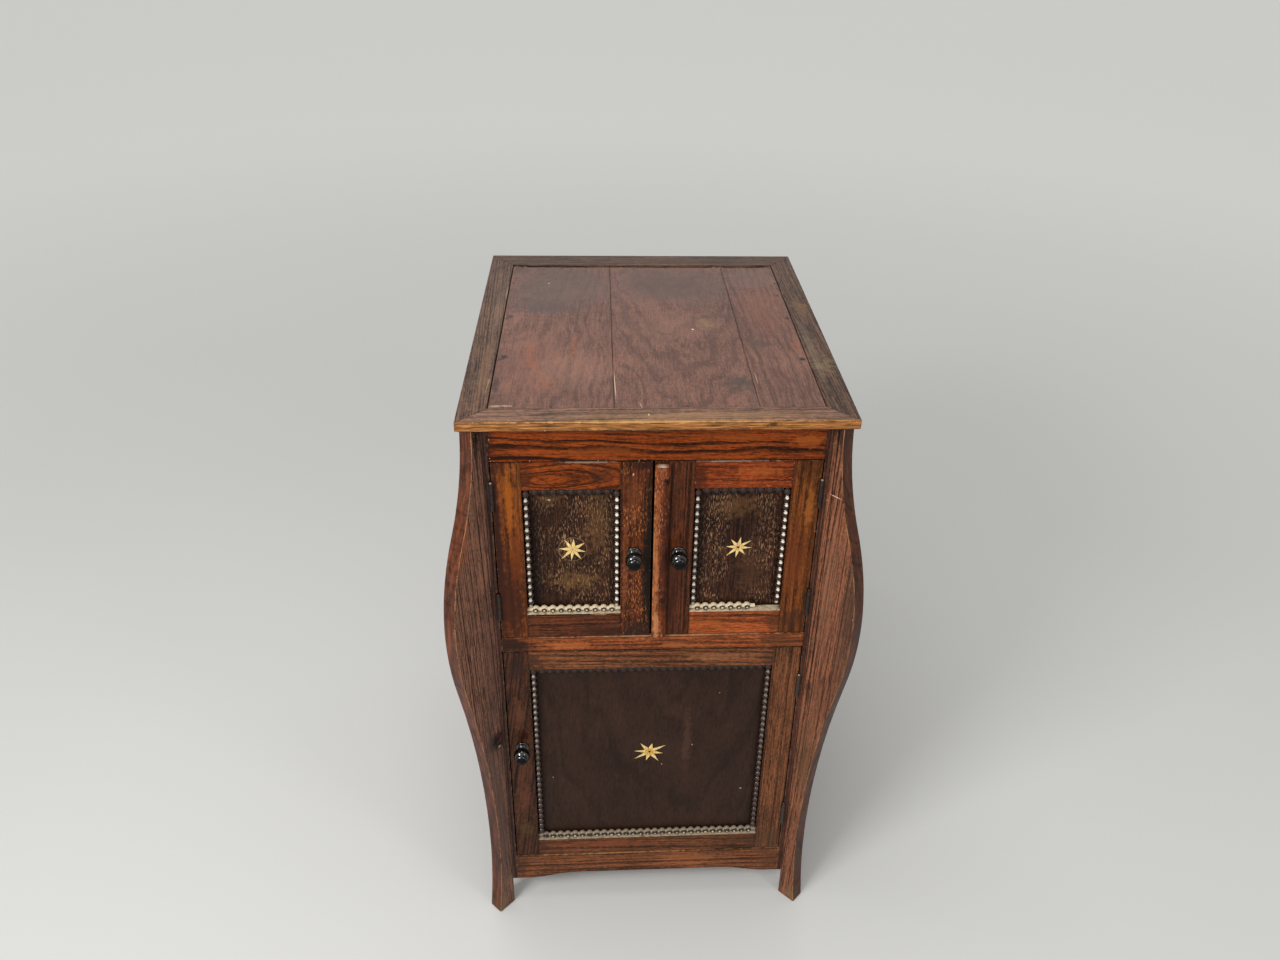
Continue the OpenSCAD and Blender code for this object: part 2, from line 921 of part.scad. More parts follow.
module frame_leaves(side, hinges) {
    color("#2b2723")
        for (z = hinges) {
            leaf_plate(side, side, z);
            leaf_knuckles(side, side, z, 0);
            leaf_screw_row(side, side, z, hinge_screw_r, hinge_screw_len);
            translate([side * pin_x, pin_y, z]) cylinder(r = pin_r, h = hinge_len);
            for (tip = [z, z + hinge_len])
                translate([side * pin_x, pin_y, tip]) sphere(r = tip_r);
        }
}

module door_leaves(side, hinges) {
    color("#2b2723")
        difference() {
            for (z = hinges) {
                leaf_plate(side, -side, z);
                leaf_knuckles(side, -side, z, 1);
                leaf_screw_row(side, -side, z, hinge_screw_r, hinge_screw_len);
            }
            for (z = hinges)
                translate([side * pin_x, pin_y, z - cut])
                    cylinder(r = pin_r + pin_clear, h = hinge_len + 2 * cut);
        }
}

// Room in the wood for the barrels, leaves and screws of one side's hinges
module hinge_cuts(side, hinges, toward) {
    plate = side * pin_x + toward * (leaf_gap / 2 + leaf_t);
    face = side * pin_x - toward * leaf_gap;
    for (z = hinges) {
        translate([side * pin_x, pin_y, z - tip_r - cut])
            cylinder(r = barrel_r + leaf_gap, h = hinge_len + 2 * tip_r + 2 * cut);
        box(
            min(plate, face), max(plate, face), pin_y, pin_y + leaf_w,
            z, z + hinge_len
        );
        leaf_screw_row(side, toward, z, hinge_screw_r + dowel_clear, hinge_screw_len);
    }
}

// Left upper door
module left_upper_hinge_stile() {
    color("#8c5226")
        difference() {
            stile(left_door[0], left_open[0], left_door, left_open);
            hinge_cuts(-1, upper_hinges, 1);
        }
}

module left_upper_lock_stile() {
    color("#6f3a20")
        difference() {
            stile(left_open[1], left_door[1], left_door, left_open);
            knob_hole(left_knob);
        }
}

module left_upper_top_rail() {
    color("#7c3f20") door_rail(left_open[3], left_door[3], left_open);
}

module left_upper_bottom_rail() {
    color("#6a3720") door_rail(left_door[2], left_open[2], left_open);
}

module left_upper_panel() {
    color("#3a271c") door_panel(left_open, upper_star_r);
}

module left_upper_beads() {
    color("#2e2018") beads(left_open, 0);
}

module left_upper_star() {
    color("#c9a25a") star(left_open, upper_star_r, star_proud);
}

module left_upper_knob() {
    knob(left_knob);
}

module left_upper_frame_leaves() {
    frame_leaves(-1, upper_hinges);
}

module left_upper_door_leaves() {
    door_leaves(-1, upper_hinges);
}

// Right upper door, which carries the meeting strip
module right_upper_hinge_stile() {
    color("#7f4522")
        difference() {
            stile(right_open[1], right_door[1], right_door, right_open);
            hinge_cuts(1, upper_hinges, -1);
        }
}

module right_upper_lock_stile() {
    color("#5f3320")
        difference() {
            stile(right_door[0], right_open[0], right_door, right_open);
            knob_hole(right_knob);
            strip_nail_holes();
        }
}

module right_upper_top_rail() {
    color("#7a3f20") door_rail(right_open[3], right_door[3], right_open);
}

module right_upper_bottom_rail() {
    color("#743b20") door_rail(right_door[2], right_open[2], right_open);
}

module right_upper_panel() {
    color("#3a271c") door_panel(right_open, upper_star_r);
}

module right_upper_beads() {
    color("#2e2018") beads(right_open, beads_lost);
}

module right_upper_star() {
    color("#c9a25a") star(right_open, upper_star_r, star_proud);
}

module right_upper_knob() {
    knob(right_knob);
}

// The strip's two long front edges are bevelled
strip_z0 = right_door[2] + strip_inset;
strip_z1 = right_door[3] - strip_inset;

module meeting_strip() {
    color("#7e3a22")
        difference() {
            translate([right_free_x, -half_d, strip_z0])
                linear_extrude(height = strip_z1 - strip_z0)
                    polygon([
                        [0, 0], [0, strip_bevel - strip_t],
                        [strip_bevel, -strip_t], [strip_w - strip_bevel, -strip_t],
                        [strip_w, strip_bevel - strip_t], [strip_w, 0]
                    ]);
            strip_nail_holes();
        }
}

module strip_nail_rods(r, y0, y1) {
    z0 = strip_z0 + strip_nail_bottom;
    z1 = strip_z1 - strip_nail_top;
    for (i = [0 : strip_nails - 1])
        y_rod(
            right_free_x + strip_w / 2 + strip_nail_off, y0,
            z0 + (z1 - z0) * i / (strip_nails - 1), r, y1 - y0
        );
}

module strip_nail_holes() {
    strip_nail_rods(
        strip_nail_r + dowel_clear,
        -half_d - strip_t - cut, -half_d - strip_t + strip_nail_len + slack
    );
}

module strip_nails() {
    color("#35312d")
        strip_nail_rods(
            strip_nail_r, -half_d - strip_t, -half_d - strip_t + strip_nail_len
        );
}

module right_upper_frame_leaves() {
    frame_leaves(1, upper_hinges);
}

module right_upper_door_leaves() {
    door_leaves(1, upper_hinges);
}

// Lower door
module lower_hinge_stile() {
    color("#6c4326")
        difference() {
            stile(lower_open[1], lower_door[1], lower_door, lower_open);
            hinge_cuts(1, lower_hinges, -1);
        }
}

module lower_lock_stile() {
    color("#4f3426")
        difference() {
            stile(lower_door[0], lower_open[0], lower_door, lower_open);
            knob_hole(lower_knob_at);
        }
}

module lower_top_rail() {
    color("#744024") door_rail(lower_open[3], lower_door[3], lower_open);
}

module lower_bottom_rail() {
    color("#693a24") door_rail(lower_door[2], lower_open[2], lower_open);
}

module lower_panel() {
    color("#35241d") door_panel(lower_open, lower_star_r);
}

module lower_beads() {
    color("#2e2018") beads(lower_open, 0);
}

module lower_star() {
    color("#cba75c") star(lower_open, lower_star_r, star_proud);
}

module lower_knob() {
    knob(lower_knob_at);
}

module lower_frame_leaves() {
    frame_leaves(1, lower_hinges);
}

module lower_door_leaves() {
    door_leaves(1, lower_hinges);
}

top_front_rail();
top_back_rail();
top_left_rail();
top_right_rail();
top_left_board();
top_middle_board();
top_right_board();
top_tacks();
front_left_post();
front_right_post();
back_left_post();
back_right_post();
front_left_leg();
front_right_leg();
back_left_leg();
back_right_leg();
leg_screws();
frieze_rail();
middle_rail();
bottom_rail();
left_side_panel();
right_side_panel();
back_panel();
middle_shelf();
bottom_board();
cleats();
door_stops();
left_upper_hinge_stile();
left_upper_lock_stile();
left_upper_top_rail();
left_upper_bottom_rail();
left_upper_panel();
left_upper_beads();
left_upper_star();
left_upper_knob();
left_upper_frame_leaves();
left_upper_door_leaves();
right_upper_hinge_stile();
right_upper_lock_stile();
right_upper_top_rail();
right_upper_bottom_rail();
right_upper_panel();
right_upper_beads();
right_upper_star();
right_upper_knob();
meeting_strip();
strip_nails();
right_upper_frame_leaves();
right_upper_door_leaves();
lower_hinge_stile();
lower_lock_stile();
lower_top_rail();
lower_bottom_rail();
lower_panel();
lower_beads();
lower_star();
lower_knob();
lower_frame_leaves();
lower_door_leaves();
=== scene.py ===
"""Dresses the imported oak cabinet: rounded and rubbed woodwork, turned beads
on dusty ledges, star inlays, black knobs and iron hinges, on a pale stage.
"""

import json
from math import cos, pi, radians, sin

import bmesh
import bpy
from bpy.props import FloatProperty, FloatVectorProperty, PointerProperty
from bpy.types import NodeSocket, Operator, Panel, PropertyGroup
from mathutils import Matrix, Vector, noise


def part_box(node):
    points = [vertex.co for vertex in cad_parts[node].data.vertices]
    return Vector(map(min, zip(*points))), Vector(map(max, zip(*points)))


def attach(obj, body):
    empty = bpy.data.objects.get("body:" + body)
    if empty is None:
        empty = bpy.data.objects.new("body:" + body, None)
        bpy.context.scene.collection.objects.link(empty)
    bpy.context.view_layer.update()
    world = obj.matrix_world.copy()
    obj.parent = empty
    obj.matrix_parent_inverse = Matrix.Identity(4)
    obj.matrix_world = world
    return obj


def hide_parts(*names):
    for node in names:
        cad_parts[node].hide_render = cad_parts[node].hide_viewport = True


bl_info = {
    "name": "Oak Cabinet",
    "version": (1, 0, 0),
    "blender": (4, 5, 0),
    "location": "3D View > Sidebar > Cabinet",
    "description": "Woodwork, fittings and stage of a free-standing oak cabinet",
    "category": "Object",
}

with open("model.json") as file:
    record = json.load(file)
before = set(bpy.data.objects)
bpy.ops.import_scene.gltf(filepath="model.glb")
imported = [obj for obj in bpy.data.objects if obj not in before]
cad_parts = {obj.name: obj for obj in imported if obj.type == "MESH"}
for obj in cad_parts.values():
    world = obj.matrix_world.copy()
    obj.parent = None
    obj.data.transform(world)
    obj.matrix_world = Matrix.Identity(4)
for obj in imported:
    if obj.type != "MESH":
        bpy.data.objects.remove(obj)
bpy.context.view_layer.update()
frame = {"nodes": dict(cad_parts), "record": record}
NODES = frame["nodes"]
BODY = {
    node: body
    for body, nodes in frame["record"]["behaviour"]["bodies"].items()
    for node in nodes
}
DOORS = ("left_upper", "right_upper", "lower")
MM = 0.001
# In mm: the front of the rails and the doors, of the panels and of the top's
# edge, the height of the top, and the centres of the stars
FRONT = -252
PANEL_FRONT = -242
EDGE = -265
TOP = 846
STAR_CENTRES = {
    "left_upper": (-102.2, 653.9),
    "right_upper": (102.5, 653.9),
    "lower": (-1.75, 301.5),
}


def mm(values):
    """Millimetres as metres."""
    return [value * MM for value in values]


def linear(code):
    """A colour written as 0xRRGGBB, as three linear numbers."""
    shares = [(code >> shift & 255) / 255 for shift in (16, 8, 0)]
    return [s / 12.92 if s <= 0.04045 else ((s + 0.055) / 1.055) ** 2.4 for s in shares]


def shade(tone, factor, warm=1.0):
    """A darker or lighter shade of a tone, and a warmer one above 1."""
    red, green, blue = tone
    made = (red * factor * warm, green * factor, blue * factor / warm)
    return [min(1.0, share) for share in made]


# --- What a user would change -------------------------------------------


def colour(name, description, code):
    return FloatVectorProperty(
        name=name, description=description, subtype="COLOR", size=3,
        min=0.0, max=1.0, default=linear(code),
    )


def length(name, description, value):
    return FloatProperty(
        name=name, description=description, default=value * MM, min=0.0, unit="LENGTH"
    )


class CabinetSizes(PropertyGroup):
    arris: length("Arris", "Rounding of the boards' arrises", 0.9)
    joint: length("Joint", "Rounding of the arrises of the doors' members", 0.45)
    leg_arris: length("Leg arris", "Rounding of the legs' arrises", 1.5)
    rim: length("Rim", "Width over which rubbing and dirt fade from an arris", 6)
    ledge: length("Ledge", "Thickness of the dust and old glue under the beads", 0.7)
    proud: length("Inlay", "How far the stars stand above their panels", 0.25)
    splinter: length("Splinters", "Raggedness of the top boards' broken back ends", 2.2)


class CabinetColours(PropertyGroup):
    leg: colour("Legs", "Greyed dark oak of the legs", 0x5E4134)
    post: colour("Posts", "Dark oak of the corner posts", 0x2E1C16)
    top: colour("Top frame", "Dark grey-brown oak of the top frame", 0x533F34)
    edge: colour("Front edge", "Golden oak of the top's front edge", 0x8E5D32)
    board: colour("Top boards", "Faded mahogany of the top boards", 0x694A3F)
    frieze: colour("Frieze", "Orange-red oak of the frieze rail", 0x5A2708)
    golden: colour("Golden oak", "Oak where the stain has worn to gold", 0x6A3816)
    red: colour("Red oak", "Red-brown oak of the doors", 0x6B3418)
    brown: colour("Brown oak", "Mid-brown oak of the lower door", 0x58341F)
    dark: colour("Dark oak", "Darkest oak of the doors", 0x432212)
    panel: colour("Upper panels", "Very dark oak of the upper panels", 0x2E1A11)
    lower: colour("Lower panel", "Dark purple-brown of the lower panel", 0x301F18)
    side: colour("Sides", "Dark oak of the side panels", 0x4B2C1C)
    pine: colour("Inside", "Unvarnished softwood of the inside", 0x8A6542)
    rub: colour("Rubbed wood", "Pale wood on rubbed arrises", 0xA57750)
    dust: colour("Dust", "Dust and old glue under the beads", 0xB9A88C)
    bead: colour("Beads", "Dark varnish of the beads", 0x2E1C14)
    # The bead crests' colour serves as a painted highlight on the beads
    crest_highlight: colour("Bead crests", "Bare wood on the rubbed crests of the beads", 0xD6CBBB)
    inlay: colour("Inlay", "Pale wood of the stars", 0xD8BC7A)
    chip: colour("Chips", "Pale bare wood where varnish has chipped off", 0xC9A888)
    fleck: colour("Flecks", "Golden flecks in the upper panels", 0x967253)
    flank: colour("Leg flanks", "Dark red-brown of the legs' narrow faces", 0x4C2413)
    seam: colour("Inlay seam", "Dark seam around and between an inlay's points", 0x3A2412)
    knob: colour("Knobs", "Black varnish of the knobs", 0x030303)
    iron: colour("Hinges", "Blackened iron of the hinges", 0x2E2A27)
    steel: colour("Hinge tips", "Rubbed metal of the hinge tips", 0x8F8779)
    floor: colour("Floor", "Pale floor", 0xC9C9C6)


def sizes():
    return bpy.context.scene.cabinet_sizes


def colours():
    return bpy.context.scene.cabinet_colours


# --- Finishes -----------------------------------------------------------


class Finish:
    """A material whose nodes are added one call at a time."""

    def __init__(self, name):
        self.material = bpy.data.materials.new(name)
        self.material.use_nodes = True
        self.tree = self.material.node_tree
        self.tree.nodes.clear()
        self.shader = self.tree.nodes.new("ShaderNodeBsdfPrincipled")
        out = self.tree.nodes.new("ShaderNodeOutputMaterial")
        self.tree.links.new(self.shader.outputs[0], out.inputs["Surface"])
        coords = self.tree.nodes.new("ShaderNodeTexCoord")
        self.place = coords.outputs["Object"]
        # The plain tone, and what the shader gets when the finish is closed
        self.base = None
        self.colour = None
        self.height = None
        self.rough = None

    def feed(self, socket, value):
        """Links a socket to another one, or sets it to a number or a tone."""
        if isinstance(value, NodeSocket):
            self.tree.links.new(value, socket)
        elif socket.type == "RGBA" and len(value) == 3:
            socket.default_value = (*value, 1.0)
        else:
            socket.default_value = value

    def node(self, kind, inputs, **settings):
        """A node with its settings made and its inputs fed."""
        made = self.tree.nodes.new("ShaderNode" + kind)
        for key, value in settings.items():
            setattr(made, key, value)
        for socket, value in inputs.items():
            self.feed(made.inputs[socket], value)
        return made

    def math(self, operation, a, b=0.0, c=0.0):
        return self.node("Math", {0: a, 1: b, 2: c}, operation=operation).outputs[0]

    def add_share(self, total, value, share, middle=0.5):
        """The total plus a share of how far a value lies from its middle."""
        return self.math("MULTIPLY_ADD", self.math("SUBTRACT", value, middle), share, total)

    def product(self, value, *others):
        for other in others:
            value = self.math("MULTIPLY", value, other)
        return value

    def mix(self, factor, a, b):
        made = self.node("Mix", {}, data_type="RGBA")
        for socket, value in ((0, factor), (6, a), (7, b)):
            self.feed(made.inputs[socket], value)
        return made.outputs[2]

    def paint(self, tone, *masks):
        """Lays a tone over the colour, as strongly as the masks' product."""
        self.colour = self.mix(self.product(*masks), self.colour, tone)

    def map(self, vector, location, turn=(0, 0, 0), scale=(1, 1, 1)):
        """The vector as seen from a place, a turn in degrees and a scale."""
        angles = [radians(angle) for angle in turn]
        made = self.node(
            "Mapping",
            {"Vector": vector, "Location": location, "Rotation": angles, "Scale": scale},
            vector_type="TEXTURE",
        )
        return made.outputs[0]

    def vector(self, operation, a, b):
        return self.node("VectorMath", {0: a, 1: b}, operation=operation).outputs[0]

    def times(self, vector, factors):
        return self.vector("MULTIPLY", vector, factors)

    def split(self, vector):
        return self.node("SeparateXYZ", {0: vector}).outputs

    def length(self, vector):
        return self.node("VectorMath", {0: vector}, operation="LENGTH").outputs["Value"]

    def noise(self, vector, detail=2.0, roughness=0.5):
        made = self.node(
            "TexNoise",
            {"Vector": vector, "Scale": 1.0, "Detail": detail, "Roughness": roughness},
        )
        return made.outputs[0]

    def fibres(self, vector, across, along, detail=2.0, roughness=0.5):
        """Noise of one fineness across a vector's z and another along it."""
        return self.noise(self.times(vector, (across, across, along)), detail, roughness)

    def speckle(self, fine, detail=2.0, roughness=0.5):
        """Noise of the same fineness along the object's three axes."""
        return self.fibres(self.place, fine, fine, detail, roughness)

    def line_noise(self, value, detail=2.0):
        made = self.node(
            "TexNoise", {"W": value, "Scale": 1.0, "Detail": detail}, noise_dimensions="1D"
        )
        return made.outputs[0]

    def range(self, value, low, high, out_low=0.0, out_high=1.0):
        """A smooth step from one value at the low end to another at the high."""
        made = self.node(
            "MapRange",
            {0: value, 1: low, 2: high, 3: out_low, 4: out_high},
            interpolation_type="SMOOTHSTEP",
        )
        return made.outputs[0]

    def ramp(self, factor, stops):
        made = self.node("ValToRGB", {0: factor})
        ramp = made.color_ramp
        while len(ramp.elements) < len(stops):
            ramp.elements.new(0.5)
        for element, (position, tone) in zip(ramp.elements, stops):
            element.position = position
            element.color = (*tone, 1.0)
        return made.outputs[0]

    def attribute(self, name):
        return self.node("Attribute", {}, attribute_name=name).outputs["Fac"]

    def edge(self, low, high, reach):
        """1 on the arrises of a box, and 0 at the reach inside them."""
        gaps = self.vector(
            "MINIMUM",
            self.vector("SUBTRACT", self.place, low),
            self.vector("SUBTRACT", high, self.place),
        )
        x, y, z = self.split(gaps)
        small, large = self.math("MINIMUM", x, y), self.math("MAXIMUM", x, y)
        second = self.math("MAXIMUM", small, self.math("MINIMUM", large, z))
        return self.range(second, 0.0, reach, 1.0, 0.0)

    def blob(self, centre, size, turn=(0, 0, 0), soft=0.7, ragged=0.3):
        """1 inside an ellipsoid, which is given in mm, and 0 outside it. Its
        rim fades over the soft share of its size, and can be ragged."""
        far = self.length(self.map(self.place, mm(centre), turn, mm(size)))
        if ragged:
            far = self.add_share(far, self.speckle(140, 3), ragged * 3)
        return self.range(far, 1.0, 1.0 - soft)

    def stain(self, code, strength, centre, size, turn=(0, 0, 0), soft=0.7, ragged=0.3):
        self.paint(linear(code), self.blob(centre, size, turn, soft, ragged), strength)

    def wear_and_shade(self, rim, grime=0.5, rub=0.5, chips=0.0):
        """Darkening near the arrises, dirt on most boards and painted shade in the panels'
        recesses, and wood rubbed bare on them.
        """
        self.paint(shade(self.base, 0.25), self.math("POWER", rim, 1.5), grime)
        if rub:
            ragged = self.speckle(75, 4, 0.65)
            bare = self.range(self.add_share(rim, ragged, 0.9), 0.92, 1.1)
            self.paint(colours().rub, bare, rub)
        if chips:
            chip = self.range(self.speckle(420), 0.66, 0.72)
            self.paint(colours().chip, chip, self.range(rim, 0.15, 0.6), chips)

    def close(self, bump=0.3, gloss=0.1):
        """The material, with its height as a bump up to 0.4 mm deep."""
        shader = self.shader.inputs
        self.feed(shader["Base Color"], self.colour)
        self.feed(shader["Roughness"], self.rough)
        shader["Specular IOR Level"].default_value = gloss
        if self.height is not None:
            made = self.node(
                "Bump", {"Strength": bump, "Distance": 0.4 * MM, "Height": self.height}
            )
            self.feed(shader["Normal"], made.outputs[0])
        return self.material


ALONG = {"x": (0, 90, 0), "y": (-90, 0, 0), "z": (0, 0, 0)}


def wood(
    name, base, heart, grain="z", tilt=(0, 0, 0), ring=3.5, wobble=4.0, wave=3.2,
    contrast=0.45, streaks=0.6, fibre=1.5, mottle=1.5, clouds=0.8, pores=0.75, flecks=0.0,
    rough=0.42, light=1.9, dark=0.25, thin=0.0, fleck_tone=None, fleck_side=None,
):
    """Wood cut from a log whose heart runs through a point, in mm, along the
    grain. The tilt, in degrees, makes the rings run out in arches.

    The ring is a ring's width in mm, the wobble its waviness in mm and the
    wave how fast it changes along the grain. Contrast, streaks, fibre, mottle
    and clouds are shares of the figure from the rings down to slow clouds, and
    thin narrows the rings' dark bands. Flecks lie in front of the fleck side."""
    f = Finish(name)
    f.base = list(base)
    turn = [a + b for a, b in zip(ALONG[grain], tilt)]
    inside = f.map(f.place, mm(heart), turn)
    slow = f.fibres(inside, 22, wave, 3)
    radius = f.length(f.times(inside, (1, 1, 0)))
    rings = f.line_noise(
        f.math("DIVIDE", f.add_share(radius, slow, 2 * wobble * MM), ring * MM), 2.5
    )
    band = f.range(rings, 0.36 - thin / 2, 0.56 - thin)
    streak = f.fibres(inside, 210, 7, 3, 0.65)
    hair = f.fibres(inside, 560, 18, 3, 0.65)
    pore = f.range(f.fibres(inside, 700, 40, 1), 0.57, 0.7)
    cloud = f.speckle(11, 3)
    crackle = f.fibres(inside, 400, 190, 4, 0.7)
    tone = f.add_share(0.52, band, contrast, 0.6)
    for value, share in ((crackle, mottle), (streak, streaks), (hair, fibre), (cloud, clouds)):
        tone = f.add_share(tone, value, share)
    f.colour = f.ramp(tone, [
        (0.05, shade(base, dark)), (0.35, shade(base, 0.62)), (0.56, base),
        (0.74, shade(base, 1.35, 1.05)), (0.98, shade(base, light, 1.08)),
    ])
    f.paint(shade(base, dark * 0.6), pore, pores)
    if flecks:
        speck = f.range(f.fibres(inside, 820, 170), 0.54, 0.67)
        patch = f.range(f.fibres(f.place, 24, 18, 3), 0.38, 0.62)
        masks = [speck, patch, flecks]
        if fleck_side is not None:
            y = f.split(f.place)[1]
            masks.append(f.range(y, fleck_side * MM, (fleck_side - 2) * MM))
        f.paint(fleck_tone or shade(base, 4.2, 1.08), *masks)
    f.height = f.math("MULTIPLY_ADD", band, 0.35, f.product(hair, 0.5))
    f.height = f.math("SUBTRACT", f.height, pore)
    f.rough = f.math("MULTIPLY_ADD", f.speckle(60, 4, 0.65), 0.3, rough - 0.15)
    return f


def filled(rows):
    """Rows of marks, with the raggedness and the turn that they leave out."""
    usual = (0.3, 0)
    return [(*row, *usual[len(row) - 6:]) for row in rows]


def marks(f, rows, face=FRONT, deep=12):
    """Marks on a front face, as tone, strength, x, z, width, height in mm,
    and perhaps a raggedness and a turn in degrees."""
    for code, strength, x, z, wide, high, ragged, turn in filled(rows):
        f.stain(
            code, strength, (x, face, z), (wide, deep, high), (0, turn, 0), ragged=ragged
        )


def top_marks(f, rows):
    """Marks on the top, as tone, strength, x, y, width, depth in mm, and
    perhaps a raggedness and a turn in degrees."""
    for code, strength, x, y, wide, deep, ragged, turn in filled(rows):
        f.stain(
            code, strength, (x, y, TOP), (wide, deep, 4), (0, 0, turn), ragged=ragged
        )


# --- Shapes -------------------------------------------------------------


def block(low, high):
    """A box between two corners, in metres."""
    bm = bmesh.new()
    bmesh.ops.create_cube(bm, size=1)
    low, high = Vector(low), Vector(high)
    bmesh.ops.scale(bm, verts=bm.verts, vec=high - low)
    bmesh.ops.translate(bm, verts=bm.verts, vec=(low + high) / 2)
    return bm


def middle_of(node):
    """The middle of a CAD node's box, in mm."""
    return [(low + high) / 2 / MM for low, high in zip(*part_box(node))]


def merged(node):
    """A CAD node's shape with its triangles joined into whole faces."""
    bm = bmesh.new()
    bm.from_mesh(NODES[node].data)
    bmesh.ops.remove_doubles(bm, verts=bm.verts, dist=2e-6)
    bmesh.ops.dissolve_limit(
        bm, angle_limit=radians(1), verts=bm.verts, edges=bm.edges
    )
    return bm


def round_arrises(bm, width):
    """Rounds the outer arrises that are longer than 8 mm."""
    sharp = [
        edge for edge in bm.edges
        if len(edge.link_faces) == 2 and edge.is_convex
        and edge.calc_face_angle() > radians(40) and edge.calc_length() > 8 * MM
    ]
    bmesh.ops.bevel(
        bm, geom=sharp, offset=width, offset_type="OFFSET", segments=3, profile=0.5,
        affect="EDGES", material=-1, clamp_overlap=True,
    )


def cut(bm, point, normal):
    """Cuts edges into a shape along a plane."""
    bmesh.ops.bisect_plane(
        bm, geom=bm.verts[:] + bm.edges[:] + bm.faces[:], dist=1e-7,
        plane_co=point, plane_no=normal,
    )


def slice_up(bm, axis, start, stop, step):
    """Cuts edge loops into a shape at even steps in mm along an axis."""
    normal = Vector((axis == 0, axis == 1, axis == 2))
    for i in range(int((stop - start) / step)):
        cut(bm, normal * ((start + step * (i + 0.5)) * MM), normal)


def add_piece(bm, name, node, material, smooth=32):
    """The finished piece, in place and riding with a CAD node's body."""
    bmesh.ops.recalc_face_normals(bm, faces=bm.faces)
    mesh = bpy.data.meshes.new(name)
    bm.to_mesh(mesh)
    bm.free()
    mesh.shade_smooth()
    mesh.set_sharp_from_angle(angle=radians(smooth))
    mesh.materials.append(material)
    piece = bpy.data.objects.new(name, mesh)
    bpy.context.scene.collection.objects.link(piece)
    weighted = piece.modifiers.new("Flat faces", "WEIGHTED_NORMAL")
    weighted.keep_sharp = True
    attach(piece, BODY[node])
    return piece


def dress(node, finish, bm=None, arris=None, box=None, reach=None, rounded=True, **wear_and_shade):
    """A board in the place of a CAD node, with rounded arrises, wear, and darkening near its
    arrises that on the panels is painted shade.
    """
    bm = bm or merged(node)
    if rounded:
        round_arrises(bm, arris or sizes().arris)
    low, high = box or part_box(node)
    finish.wear_and_shade(finish.edge(low, high, reach or sizes().rim), **wear_and_shade)
    piece = add_piece(bm, node + "_wood", node, finish.close())
    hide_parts(node)


def keep(node, material):
    """Gives a CAD node that stays its own finish."""
    mesh = NODES[node].data
    mesh.materials.clear()
    mesh.materials.append(material)


def plain(name, tone, rough, metallic=0.0, gloss=0.5, spread=0.08):
    """A smooth finish with slight clouds in its tone and its gloss."""
    f = Finish(name)
    f.colour = f.mix(f.speckle(120, 3), shade(tone, 0.65), shade(tone, 1.35))
    f.rough = f.range(f.speckle(240), 0.3, 0.7, rough - spread, rough + spread)
    f.shader.inputs["Metallic"].default_value = metallic
    return f.close(gloss=gloss)


# --- Operators ----------------------------------------------------------


